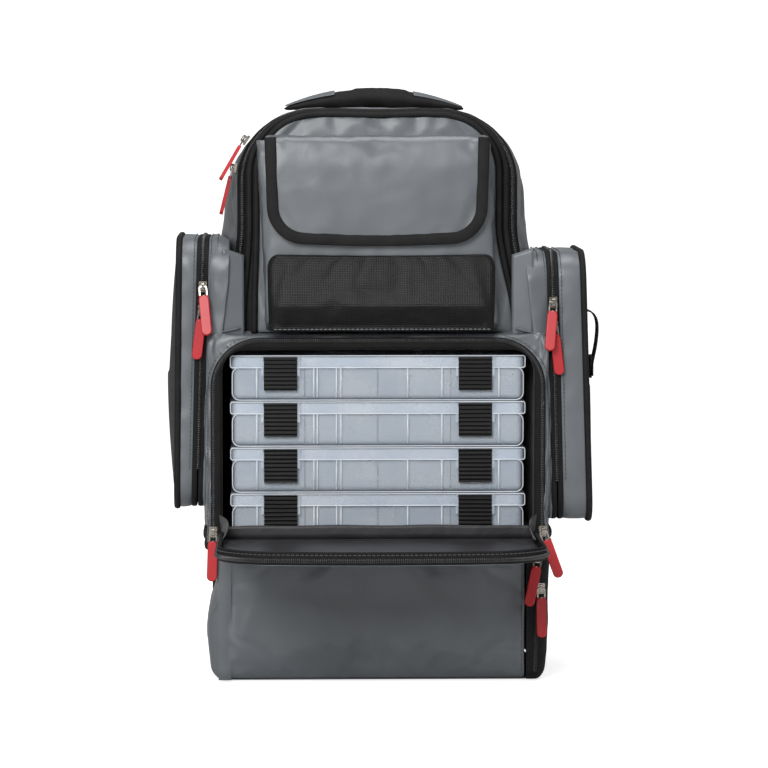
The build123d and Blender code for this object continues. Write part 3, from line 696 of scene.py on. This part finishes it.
# ---------------------------------------------------------------- front pocket
# A pouch of coated fabric sewn to the arched panel, with a panel of heavy ballistic weave.
# The weave is folded at its two lower corners, so the pouch stands out like a box.

pocket_low, pocket_high = place("front_pocket")
patch_low, patch_high = place("front_pocket_panel")


def pocket_sides(z):
    """The pouch's left and right edges at a height."""
    k = (z - pocket_low.z) / (pocket_high.z - pocket_low.z)
    return pocket_low.x + 5 - 9 * k, pocket_high.x + 3 - 8 * k


def pocket_shape(u, v):
    z = pocket_low.z + 1 + (pocket_high.z - pocket_low.z - 1) * v
    left, right = pocket_sides(z)
    lean = 1 - 0.25 * ease((v - 0.75) / 0.25)
    depth = (pocket_high.y - pocket_low.y - 1) * lean * ease(v / 0.05)
    turn = min(u, 1 - u) / 0.16
    out = depth * (sin(pi / 2 * min(1, turn)) ** 0.7)
    inward = 7 * (1 - cos(pi / 2 * min(1, turn)))
    k = min(1, max(0, (u - 0.12) / 0.76))
    x = left + inward * (u < 0.5) * 0.5 + (right - left - inward * 0.5) * k if turn > 0.75 else \
        (left + inward * 0.5 if u < 0.5 else right - inward * 0.5)
    return x, pocket_high.y - 1 - out - 2.2 * sin(pi * k) * ease(v / 0.2), z


pouch = surface("front_pocket_fabric", pocket_shape, 80, 50, coated_polyester)
settle(pouch, 0.01, 1.0, 1.5)
crumple(pouch, 0.7, 26, 13)
sew(pouch, "arch_panel", "grey_fabric", "front_pocket")
# Ballistic weave: heavy black basket weave with a plastic shine on each thread, partly real gloss and partly painted
# highlight from the weave's tone.
ballistic_weave = material("ballistic_weave", ("0b0b0c", "121213"), 40, 0.5, 2.2, 0.4, 22, 0.4,
                           Specular_IOR_Level=0.3)


def patch_shape(u, v):
    low, high = patch_low.z, patch_high.z
    z = low + (high - low) * v
    k = (z - low) / (high - low)
    shelf = 0.34
    side = abs(2 * u - 1)
    bulge = 16 * (k / shelf) - 3 if k < shelf else 13 - 10.5 * ((k - shelf) / (1 - shelf)) ** 0.8
    bulge = max(0.5, bulge * (1 - ease((side - 0.88) / 0.12) * 0.45))
    half = (patch_high.x - patch_low.x) / 2 + 4 + 1.5 * k
    corner = 9 * (1 - sqrt(max(0, 1 - max(0, (k - 0.8) / 0.2) ** 2)))
    return (2 * u - 1) * (half - corner) + 2.8, patch_low.y - 2.8 - bulge + 9 * ease((side - 0.95) / 0.05) * 0.6, z - 1.2 * sin(pi * u) * (k > 0.5)


patch = surface("front_pocket_weave", patch_shape, 90, 36, ballistic_weave, 1.2)
settle(patch, 0.01, 1.0, 1.2)
crumple(patch, 0.4, 20, 14)
sew(patch, "arch_panel", "black_webbing", "front_pocket_panel")
# Pale bonded thread, which shows as a fine light line on the weave.
pale_thread = material("pale_thread", ("6a6a6a", "7c7c7c"), 3, 0.6)
row("front_pocket_stitches", track(lambda t: ((2 * t - 1) * 100 + 2.8, patch_low.y - 4.6, patch_low.z + 2.2)), FORWARD,
    stitch_step, stitch_size, pale_thread, "arch_panel", "black_webbing")

# ---------------------------------------------------------------- pocket lid
# A flap of coated fabric over the pouch, with its free edges bound in black grosgrain.

lid_low, lid_high = place("pocket_lid")
lid_half = lid_high.x - 0.5
LID_R = 29
lid_y = lid_low.y


def lid_lean(x, z):
    """The lid narrows downwards a little, and bows out over what the pouch holds."""
    k = (lid_high.z - z) / (lid_high.z - lid_low.z)
    return x * (1 - 0.035 * k) - 1.2, lid_y - 0.6 - 3.5 * ease(k / 0.3) - 2.6 * sin(pi * min(1, k)) * max(0, 1 - (x / lid_half) ** 2) ** 0.5


def lid_shape(u, v):
    if v < 0.2:
        turn = v / 0.2
        x = (2 * u - 1) * lid_half
        y = lid_high.y - 1 + (lid_y - lid_high.y + 3) * min(1, turn * 1.15)
        return x - 1.2, y, lid_high.z - 1.6 - 0.8 * abs(2 * u - 1) ** 3 - 2.0 * max(0, turn - 0.9) * 10 * 0.3
    x, d = tongue(u, (v - 0.2) / 0.8, lid_half, lid_high.z - lid_low.z - 8, LID_R)
    z = lid_high.z - 2 - d
    x, y = lid_lean(x, z)
    return x, y, z - 5 * (1 - (x / lid_half) ** 2) * (d / 100) ** 2


lid = surface("pocket_lid_fabric", lambda u, v: lid_shape(1 - u, v), 56, 46, coated_polyester, 1.8)
settle(lid, 0.008, 1.0, 1.2)
crumple(lid, 0.5, 34, 15, 1)
sew(lid, "pocket_lid", "grey_fabric", "pocket_lid", offset=0.0)


def lid_edge(t):
    half = lid_half - 4.6
    x, d = arch(half, 0, lid_high.z - lid_low.z - 12, LID_R - 3, t)
    z = lid_high.z - 2 - d
    x, y = lid_lean(x, z)
    return x, y - 1.9, z - 5 * (1 - (x / half) ** 2) * (d / 100) ** 2


edging("pocket_lid_binding", track(lid_edge, 120), FORWARD,
       [(-5.2, -1.8), (-5.4, 0.2), (-4.4, 1.1), (0, 1.3), (4.4, 1.1), (5.4, 0.2), (5.2, -1.8)], black_binding,
       "pocket_lid", "black_webbing")

# ---------------------------------------------------------------- bottom compartment door
# The whole front of the bottom compartment: one panel of coated fabric, softly creased.
# It unzips down its right edge, where a black gusset takes the zip.


def door_shape(u, v):
    x = door_low.x + (door_high.x - door_low.x) * u
    z = door_low.z - 4.5 + (door_high.z - door_low.z + 7.5) * v
    tuck = 5 * max(0, 1 - (z - door_low.z + 4) / 9) ** 2
    return x, face_y - 0.4 - 1.6 * sin(pi * u) ** 0.3 * sin(pi * v) ** 0.5 + tuck, z


door = surface("bottom_door_fabric", door_shape, 70, 34, coated_polyester, 1.2)
settle(door, 0.012, 1.5, 3.5)
crumple(door, 0.5, 42, 16, 3)
sew(door, "bottom_door", "grey_fabric", "bottom_door")
row("bottom_door_stitches", track(lambda t: (door_high.x - 3.0, face_y - 1.7, 10 + 110 * t)), FORWARD, stitch_step,
    stitch_size, grey_thread, "bottom_door", "grey_fabric")
fold = surface("bottom_hinge_fabric",
               lambda u, v: (door_low.x - 6 + 12 * u, face_y - 1.3 - 0.5 * sin(pi * u), 1.5 + (floor_z - 3) * v), 10, 40,
               coated_polyester, 0.8)
for vertex in fold.data.vertices:
    vertex.co.y += 0.005 * max(0, 1 - vertex.co.z * 1000 / 11) ** 2
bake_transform(fold)
strip = surface("bottom_zip_gusset", lambda u, v: bottom_wall(1 - (1 - GREY_SHARE + 0.002) * (1 - u), v), 30, 26,
                black_binding)
crumple(strip, 0.4, 14, 17)
sew(strip, "bag", "black_lining", "fixed_zip_tapes")
row("bottom_coil", track(lambda t: (wall_x - 13 + 3.5 * t, face_y - 0.6, 9 + 113 * t)), FORWARD, COIL, coil_size,
    nylon_coil, "bag", "black_plastic")

# ---------------------------------------------------------------- side pockets
# A flat pouch on each side: coated fabric round its edge, ballistic weave on its outer face.
# A zip splits the edge, so that the outer half hinges down.

SIDE_R = 26
for side, label in ((-1, "left"), (1, "right")):
    case_low, case_high = place(f"{label}_pocket_case")

    def gore(u, v):
        """The fabric between the pouch and the upper compartment, set back in shadow."""
        return side * (125 + 20 * u), case_low.y + 1 + 4 * (1 - u), shelf_high.z - 4 + (78 + 7 * u) * v
    closing = surface(f"{label}_pocket_gore", gore, 8, 20, coated_polyester)
    sew(closing, "bag", "grey_fabric", levels=0)
    shell_low, shell_high = place(f"{label}_pocket_door")
    drop = 1 if side < 0 else -12
    y0, y1 = case_low.y, case_high.y
    z0, z1 = shell_low.z + 3 + (4 if side < 0 else -9), shell_high.z + 2 + drop
    zip_at = {"low": case_high.x if side > 0 else -case_low.x, "high": 164.5}
    bound = (188, 185) if side < 0 else (199, 191)
    crown = 8 if side < 0 else 3

    def pocket_ring(s, x, inset=0.0):
        """A point round the pouch's edge from the middle of its bottom: forwards, up, back and down."""
        depth, height, r = y1 - y0 - 2 * inset, z1 - z0 - 2 * inset, SIDE_R - inset
        legs = [depth / 2 - r, r * pi / 2, height - 2 * r, r * pi / 2, depth - 2 * r, r * pi / 2, height - 2 * r,
                r * pi / 2, depth / 2 - r]
        left = (s if side < 0 else 1 - s) * sum(legs)
        y, z, heading = (y0 + y1) / 2, z0 + inset, pi
        for n, leg in enumerate(legs):
            step = min(left, leg)
            if n % 2:
                cy, cz = y + r * sin(heading), z - r * cos(heading)
                heading -= step / r
                y, z = cy - r * sin(heading), cz + r * cos(heading)
            else:
                y, z = y + step * cos(heading), z + step * sin(heading)
            left -= step
            if left <= 0:
                break
        return (side * x(y, z), y, z)

    def share(z):
        return min(1.0, max(0.0, (z - z0) / (z1 - z0)))

    def zip_x(z):
        return zip_at["low"] + (zip_at["high"] - zip_at["low"]) * share(z) - 2.0

    def root_x(y, z):
        """Where the pouch meets the bag: the wall below, the narrower tunnel above."""
        rear = 20 * min(1, max(0, (y + 70) / 160)) * ease((z - 270) / 60)
        return wall_x - 14 * ease((z - 262) / 42) - 8 * ease((z - 300) / 100) + rear

    def strip_of(name, near, far, inset, cover, slot, body, *nodes, wide=4, seed=0, slack=0.0):
        def shape(u, v):
            return pocket_ring(u, lambda y, z: near(y, z) + (far(y, z) - near(y, z)) * v, inset - 0.8 * sin(pi * v))
        made = surface(f"{label}_pocket_{name}", shape, 120, wide, cover, 1.2)
        if seed:
            crumple(made, 0.9, 24, seed, 1)
        return sew(made, body, slot, *nodes)

    zx = lambda y, z: zip_x(z)

    def case_shape(u, v):
        """The inner half's edge, whose front laps forward over the corner of the bag."""
        x, y, z = pocket_ring(u, lambda y, z: root_x(y, z) + (zip_x(z) - 4.5 - root_x(y, z)) * v,
                              0.6 - 0.8 * sin(pi * v))
        lap = ease((y0 + 12 - y) / 12) * ease((z - 280) / 20) * (1 - v) ** 0.7
        return x, y - 4 * lap, z

    case = surface(f"{label}_pocket_case_fabric", case_shape, 150, 8, coated_polyester, 1.2)
    crumple(case, 0.9, 24, 21 + side, 1)
    sew(case, "bag", "grey_fabric", f"{label}_pocket_case")
    strip_of("case_tape", lambda y, z: zip_x(z) - 6, zx, 0.0, zip_tape, "black_lining", "bag", wide=2)
    strip_of("door_tape", lambda y, z: zip_x(z) + 0.3, lambda y, z: zip_x(z) + 6, 0.0, zip_tape, "black_lining",
             f"{label}_pocket_door", wide=2)
    bind_x = lambda y, z: bound[0] + (bound[1] - bound[0]) * share(z)
    strip_of("door_fabric", lambda y, z: zip_x(z) + 5, bind_x, 0.4, coated_polyester, "grey_fabric",
             f"{label}_pocket_door", f"{label}_pocket_door", wide=6, seed=24 + side)

    def away(at):
        """Straight out from the pouch's edge, in its own plane."""
        cy = max(y0 + SIDE_R, min(y1 - SIDE_R, at.y))
        cz = max(z0 + SIDE_R, min(z1 - SIDE_R, at.z))
        return Vector((0, at.y - cy, at.z - cz))

    start, end = (0.13, 0.80) if side < 0 else (0.20, 0.87)
    row(f"{label}_pocket_coil", track(lambda t: pocket_ring(start + (end - start) * t, zx, -0.4)), away, COIL,
        coil_size, nylon_coil, "bag", "black_plastic")
    for n, (gap, body) in enumerate(((-7.5, "bag"), (-13.5, "bag"), (8.0, f"{label}_pocket_door"))):
        row(f"{label}_pocket_stitches_{n}",
            track(lambda t: pocket_ring(start + (end - start) * t,
                                        lambda y, z: max(zip_x(z) + gap, root_x(y, z) + 1), -0.5), 300),
            away, stitch_step, stitch_size, grey_thread, body, "grey_fabric")
    edging(f"{label}_pocket_binding", track(lambda t: pocket_ring(t, bind_x, -0.3), 140)[:-1], away,
           oval(3.0, 2.4, 10), black_binding, f"{label}_pocket_door", "black_webbing", closed=True)

    def fill(out, cup, inset):
        """The flat side of the pouch, from its middle out to its edge."""
        def shape(u, v):
            x, y, z = pocket_ring(u, out, inset)
            my, mz = (y0 + y1) / 2, (z0 + z1) / 2
            k = 0.02 + 0.98 * v
            near_y, near_z = (y - my) * k, (z - mz) * k
            full = max(0, 1 - (2 * near_y / (y1 - y0)) ** 2) * max(0, 1 - (2 * near_z / (z1 - z0)) ** 2)
            return side * (abs(x) + cup * full), my + near_y, mz + near_z
        return shape

    outer = surface(f"{label}_pocket_weave", fill(lambda y, z: bind_x(y, z) + 1, crown, 2), 120, 30, ballistic_weave,
                    1.2, flat=(1, 2))
    sew(outer, f"{label}_pocket_door", "black_webbing")
    inner = surface(f"{label}_pocket_lining", fill(lambda y, z: zip_x(z) - 3, 0, 2), 80, 16, felt_lining, 1.0,
                    flat=(1, 2))
    sew(inner, "bag", "black_lining", levels=0)

# ---------------------------------------------------------------- webbing loop
# Black webbing sewn to the right side pocket: it stands out as an open loop over a doubled tail.

loop_low, loop_high = place("side_loop")
loop_x, loop_out = loop_low.x - 1, loop_high.x - 1.2
# Polyester webbing: black, coarse and slightly shiny.
black_webbing = material("polyester_webbing", ("101010", "191919"), 20, 0.6, 2.4, 0.5, Specular_IOR_Level=0.3)


def loop_line(t):
    knots = [(0, 0.0), (0.55, -0.02), (0.95, -0.13), (1.0, -0.30), (0.85, -0.55), (0.55, -0.78), (0.42, -1.0)]
    at = t * (len(knots) - 1)
    n = min(int(at), len(knots) - 2)
    a, b = knots[n], knots[n + 1]
    k = at - n
    tall = loop_high.z - loop_low.z
    return (loop_x + (loop_out - loop_x) * (a[0] + (b[0] - a[0]) * k), (loop_low.y + loop_high.y) / 2,
            loop_high.z - 1 + tall * (a[1] + (b[1] - a[1]) * k))


def smooth(path, times=6):
    """Round off a path's corners, with its ends kept."""
    for _ in range(times):
        path = [path[0]] + [(a + 2 * b + c) / 4 for a, b, c in zip(path, path[1:], path[2:])] + [path[-1]]
    return path


half_web = (loop_high.y - loop_low.y) / 2
flat_web = [(-half_web, -0.7), (half_web, -0.7), (half_web, 0.7), (-half_web, 0.7)]
loop_path = smooth(track(loop_line, 48), 20)
edging("side_loop_webbing", loop_path, lambda at: (0.6, 0, 0.8) if at.z > loop_high.z - 10 else (1, 0, 0.001), flat_web,
       black_webbing, "right_pocket_door", "black_webbing", "side_loop")
tail = track(lambda t: (loop_x + 5.2, (loop_low.y + loop_high.y) / 2, loop_low.z + 20 - 19 * t), 6)
edging("side_loop_tail", tail, (1, 0, 0), [(-half_web, -2.2), (half_web, -2.2), (half_web, 2.2), (-half_web, 2.2)],
       black_webbing, "right_pocket_door", "black_webbing")

# ---------------------------------------------------------------- grab handle
# A padded neoprene sleeve over webbing, whip stitched round its middle.
# A strip of coated fabric covers its top towards each end.

grip_low, grip_high = place("handle_grip")
# Neoprene: black, soft and matt.
neoprene = material("neoprene", ("121112", "1a191a"), 10, 0.8, crease_mm=5, crease_depth=0.3,
                    Specular_IOR_Level=0.25)
grip_half = grip_high.x
grip_y = (grip_low.y + grip_high.y) / 2


def grip_section(x):
    """Middle height, half height and half depth of the sleeve at a place across it."""
    k = min(1, abs(x) / grip_half)
    sleeve = 1.2 * ease((x + 21) / 4) * ease((34 - x) / 4)
    top = grip_high.z - 1.5 + sleeve - (grip_high.z - grip_low.z - 5) * k ** 2.1
    under = grip_low.z + 0.6 + 1.6 * max(0, 1 - (x / 14) ** 2)
    return (top + under) / 2, (top - under) / 2, 11 + 6.5 * (1 - k ** 2)


def grip_shape(u, v):
    x = grip_half * (2 * u - 1)
    mid, high, deep = grip_section(x)
    turn = 2 * pi * v
    squeeze = 1 - ease((abs(x) - grip_half + 3) / 3) * 0.7
    return x, grip_y + deep * squeeze * cos(turn), mid + high * squeeze * sin(turn)


grip = surface("handle_sleeve", grip_shape, 80, 20, neoprene, 0.0)
crumple(grip, 0.4, 9, 18, 0)
sew(grip, "bag", "black_webbing", "handle_grip")
for side in (-1, 1):
    def cap(u, v):
        x = side * (38 + (grip_half - 39) * u)
        mid, high, deep = grip_section(x)
        turn = pi * (0.2 + 0.62 * v)
        return x, grip_y - (deep + 0.6) * cos(turn), mid + (high + 0.6) * sin(turn) + 0.3
    cover = surface(f"handle_cover_{side + 1}", cap, 20, 10, coated_polyester, 0.8)
    sew(cover, "bag", "grey_fabric")

# ---------------------------------------------------------------- back pads, shoulder straps and webbing
# Foam pads under black spacer mesh, and two foam straps that end in webbing and buckles.

# Spacer mesh: black and open, with a soft nap.
spacer_mesh = material("spacer_mesh", ("131314", "1c1c1d"), 6, 0.85, 3.0, 0.8, across="Object",
                       Specular_IOR_Level=0.25)


def blow_up(name, node, voxel, pressure, cap):
    """A padded copy of a node: its mesh made even, then swelled like foam pressed into its cover."""
    obj = bpy.data.objects.new(name, frame["nodes"][node].data.copy())
    bpy.context.scene.collection.objects.link(obj)
    obj.data.materials.clear()
    obj.data.materials.append(spacer_mesh)
    even_mesh = obj.modifiers.new("even", "REMESH")
    even_mesh.voxel_size = voxel / 1000
    even_mesh.use_smooth_shade = True
    flat = bpy.data.meshes.new_from_object(obj.evaluated_get(bpy.context.evaluated_depsgraph_get()))
    obj.modifiers.clear()
    obj.data = flat
    sharp = obj.modifiers.new("soften", "SMOOTH")
    sharp.iterations = 6
    obj.data = bpy.data.meshes.new_from_object(obj.evaluated_get(bpy.context.evaluated_depsgraph_get()))
    obj.modifiers.clear()
    settle(obj, 0.0, pressure, cap, free=lambda i: obj.data.vertices[i].co.y * 1000 > back_high.y + 2)
    rounding = obj.modifiers.new("rounding", "SUBSURF")
    rounding.levels = rounding.render_levels = 1
    obj.data.shade_smooth()
    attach(obj, "bag")
    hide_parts(node)
    return obj


blow_up("back_pad_cushions", "back_pads", 6, 4, 5)
blow_up("shoulder_strap_cushions", "shoulder_straps", 5, 3, 3)
web_low, web_high = place("strap_webbing")
pad_low, pad_high = place("shoulder_straps")
for side in (-1, 1):
    middle = (pad_high.x + (pad_high.x - 66)) / 2 * side
    web_y = pad_high.y - 14
    path = smooth(track(lambda t: (middle, web_y if t < 0.4 else web_y - (web_y - back_high.y - 1) * (t - 0.4) / 0.6,
                                   web_high.z - (web_high.z - web_low.z) * t), 60), 12)
    edging(f"strap_webbing_{side + 1}", path, (0, 1, 0.2), [(-12.5, -0.9), (12.5, -0.9), (12.5, 0.9), (-12.5, 0.9)],
           black_webbing, "bag", "black_webbing", *(["strap_webbing"] if side > 0 else []))
    row(f"strap_stitches_{side + 1}",
        track(lambda t: (middle + side * 26, pad_high.y + 0.2 - 7 * abs(2 * t - 1) ** 2, 210 + 250 * t)),
        (0, 1, 0), stitch_step, stitch_size, grey_thread, "bag", "black_padding")

# ---------------------------------------------------------------- tackle boxes
# Clear polypropylene trays and lids: bluish and a little cloudy, with painted highlights along every moulded edge.

# Clear polypropylene: thin walls let most light through and scatter the rest.
clear_plastic = material("clear_polypropylene", ("d6e2f0", "e6eef7"), 45, 0.18, crease_mm=80, crease_depth=0.15,
                         Coat_Weight=0.3)
clear_plastic.node_tree.nodes["Principled BSDF"].inputs["Alpha"].default_value = 0.3
# Painted highlight: the same plastic drawn whiter and more opaque along each moulded edge.
edge_highlight_plastic = material("polypropylene_painted_edge_highlight", ("e4ebf3", "f4f7fb"), 30, 0.25, Coat_Weight=0.3)
edge_highlight_plastic.node_tree.nodes["Principled BSDF"].inputs["Alpha"].default_value = 0.6
# Black moulded latch: semi-gloss acetal with a finger grip of eight raised ribs.
black_plastic = material("black_acetal", ("0c0c0c", "141414"), 10, 0.5, Specular_IOR_Level=0.25)
ribbed_plastic = black_plastic.copy()
ribbed_plastic.name = "ribbed_black_acetal"
RIB_PITCH = 3.86
tree = ribbed_plastic.node_tree
ridges = add(tree, "TexWave", {"bands_direction": "Z"},
             {"Vector": add(tree, "TexCoord").outputs["Object"], "Scale": 100 * pi / RIB_PITCH, "Distortion": 0.4})
# Painted shade and painted highlight: dark and light colour bands across the ribs, laid beside their bump.
ridge_painted_shade = add(tree, "ValToRGB", inputs={"Fac": ridges.outputs["Fac"]})
ridge_painted_shade.color_ramp.elements[0].color = linear("040404")
ridge_painted_shade.color_ramp.elements[1].color = linear("161616")
ridge_bump = add(tree, "Bump", inputs={"Height": ridges.outputs["Fac"], "Distance": 0.0008, "Strength": 1.0})
tree.links.new(ridge_painted_shade.outputs["Color"], tree.nodes["Principled BSDF"].inputs["Base Color"])
tree.links.new(ridge_bump.outputs["Normal"], tree.nodes["Principled BSDF"].inputs["Normal"])


def repaint(node, cover):
    mesh = frame["nodes"][node].data
    mesh.materials.clear()
    mesh.materials.append(cover)


def rect(x0, x1, z0, z1, r, y):
    """A closed rounded rectangle in the plane of a box's front."""
    corners = [(x1 - r, z1 - r, 0), (x0 + r, z1 - r, pi / 2), (x0 + r, z0 + r, pi), (x1 - r, z0 + r, 3 * pi / 2)]
    return [Vector((cx + r * cos(a + k * pi / 12), y, cz + r * sin(a + k * pi / 12)))
            for cx, cz, a in corners for k in range(7)]


for n in range(1, 5):
    for part in ("base", "lid"):
        repaint(f"box_{n}_{part}", clear_plastic)
    repaint(f"box_{n}_latches", ribbed_plastic)
    tray_low, tray_high = place(f"box_{n}_base")
    cover_low, cover_high = place(f"box_{n}_lid")
    body = f"box_{n}"
    front = cover_low.y + 2.4
    skirt = tray_high.z - 9.4
    # Pale rods round the lid and the tray are painted highlights along their edges.
    edging(f"box_{n}_lid_rim_highlight", rect(cover_low.x + 0.4, cover_high.x - 0.4, skirt, cover_high.z - 0.5, 2, front), FORWARD,
           oval(0.5, 0.5, 6), edge_highlight_plastic, body, "clear_plastic", closed=True)
    edging(f"box_{n}_tray_rim_highlight", rect(tray_low.x + 0.4, tray_high.x - 0.4, tray_low.z + 0.4, skirt, 7, front + 1.4),
           FORWARD, oval(0.5, 0.5, 6), edge_highlight_plastic, body, "clear_plastic", closed=True)
    # Pale rods on the tray's moulded ribs are painted highlights.
    for m, share_x in enumerate((-0.41, -0.217, -0.205, -0.14, -0.125, 0.101, 0.217, 0.41)):
        x = share_x * 276
        edging(f"box_{n}_rib_{m}", [Vector((x, front + 0.8, tray_low.z + 3)), Vector((x, front + 0.8, skirt - 0.5))],
               FORWARD, oval(0.7, 0.5, 6), edge_highlight_plastic, body, "clear_plastic")

# ---------------------------------------------------------------- zip sliders, pulls and buckles
# Nickel-plated sliders and wire loops, each loop moulded into a soft red rubber tab.

# Nickel plate: bright, with a slight brushed unevenness.
nickel = material("nickel_plate", ("827c74", "a49e96"), 4, 0.22, Metallic=1.0)


def pull_cover(name, eye):
    """Wire near the eye and rubber beyond it, split by distance from the eye."""
    made = nickel.copy()
    made.name = f"nickel_wire_and_red_rubber_{name}"
    tree = made.node_tree
    metal = tree.nodes["Principled BSDF"]
    rubber = add(tree, "BsdfPrincipled", inputs={"Base Color": linear("a80c17"), "Roughness": 0.42,
                                                 "Coat Weight": 0.15, "Coat Roughness": 0.4})
    where = add(tree, "TexCoord")
    grain = add(tree, "TexNoise", inputs={"Vector": where.outputs["Object"], "Scale": 900.0})
    bump = add(tree, "Bump", inputs={"Height": grain.outputs["Fac"], "Distance": 0.00008, "Strength": 0.5})
    tree.links.new(bump.outputs["Normal"], rubber.inputs["Normal"])
    away = add(tree, "VectorMath", {"operation": "DISTANCE"}, {0: where.outputs["Object"], 1: eye})
    past = add(tree, "Math", {"operation": "GREATER_THAN"}, {0: away.outputs["Value"], 1: 0.0088})
    both = add(tree, "MixShader", inputs={0: past.outputs["Value"], 1: metal.outputs[0], 2: rubber.outputs[0]})
    tree.links.new(both.outputs[0], tree.nodes["Material Output"].inputs["Surface"])
    return made


eyes = {joint["child"]: joint["pos_m"] for joint in frame["record"]["behaviour"]["joints"] if "pos_m" in joint}
for node in frame["nodes"]:
    if node.startswith("slider_"):
        repaint(node, nickel)
    if node.startswith("pull_"):
        repaint(node, pull_cover(node[5:], eyes[node]))
repaint("strap_adjusters", black_plastic)

# ---------------------------------------------------------------- floor, light and camera
# A plain pale sweep under soft studio light.

# Seamless paper, lit evenly from behind so that it stays near white, with a soft bounce of its own.
paper = material("seamless_paper", ("d8d8d8", "dcdcdc"), 400, 0.85, Emission_Color=linear("ffffff"))
glow = add(paper.node_tree, "Math", {"operation": "MULTIPLY"},
           {0: add(paper.node_tree, "LightPath").outputs["Is Camera Ray"], 1: 0.75})
paper.node_tree.links.new(glow.outputs["Value"], paper.node_tree.nodes["Principled BSDF"].inputs["Emission Strength"])



def sweep(u, v):
    """Paper that runs flat under the bag and curves up behind it."""
    turn = pi / 2 * min(1, max(0, v - 0.4) / 0.3)
    return ((2 * u - 1) * 5000, -4500 + 7000 * min(v, 0.4) / 0.4 + 900 * sin(turn),
            -0.3 + 900 * (1 - cos(turn)) + 5000 * max(0, v - 0.7) / 0.3)


floor = surface("floor", sweep, 4, 60, paper, 0.0)
world = bpy.data.worlds.new("studio")
world.use_nodes = True
sky = world.node_tree.nodes["Background"]
sky.inputs["Color"].default_value = linear("ffffff")
sky.inputs["Strength"].default_value = 0.27
bpy.context.scene.world = world
bpy.context.scene.view_settings.view_transform = "Standard"
for label, where, size, power in (("key", (-0.8, -2.6, 1.55), 1.2, 78), ("fill", (2.2, -1.9, 1.6), 1.4, 8),
                                  ("top", (0.1, -0.2, 2.4), 1.2, 30)):
    lamp = bpy.data.lights.new(label, "AREA")
    lamp.size = size
    lamp.energy = power
    holder = bpy.data.objects.new(label, lamp)
    holder.location = where
    holder.rotation_euler = (Vector((0, 0, 0.28)) - Vector(where)).to_track_quat("-Z", "Y").to_euler()
    bpy.context.scene.collection.objects.link(holder)
AZIMUTH, ELEVATION, DISTANCE = radians(-1.5), radians(4.5), 3.5
target = Vector((0.0055, face_y / 1000, 0.280))
lens = bpy.data.cameras.new("studio_camera")
lens.lens = 36 * DISTANCE / 0.716
eye = bpy.data.objects.new("studio_camera", lens)
eye.location = target + DISTANCE * Vector((sin(AZIMUTH) * cos(ELEVATION), -cos(AZIMUTH) * cos(ELEVATION),
                                           sin(ELEVATION)))
eye.rotation_euler = (target - eye.location).to_track_quat("-Z", "Y").to_euler()
bpy.context.scene.collection.objects.link(eye)
bpy.context.scene.camera = eye
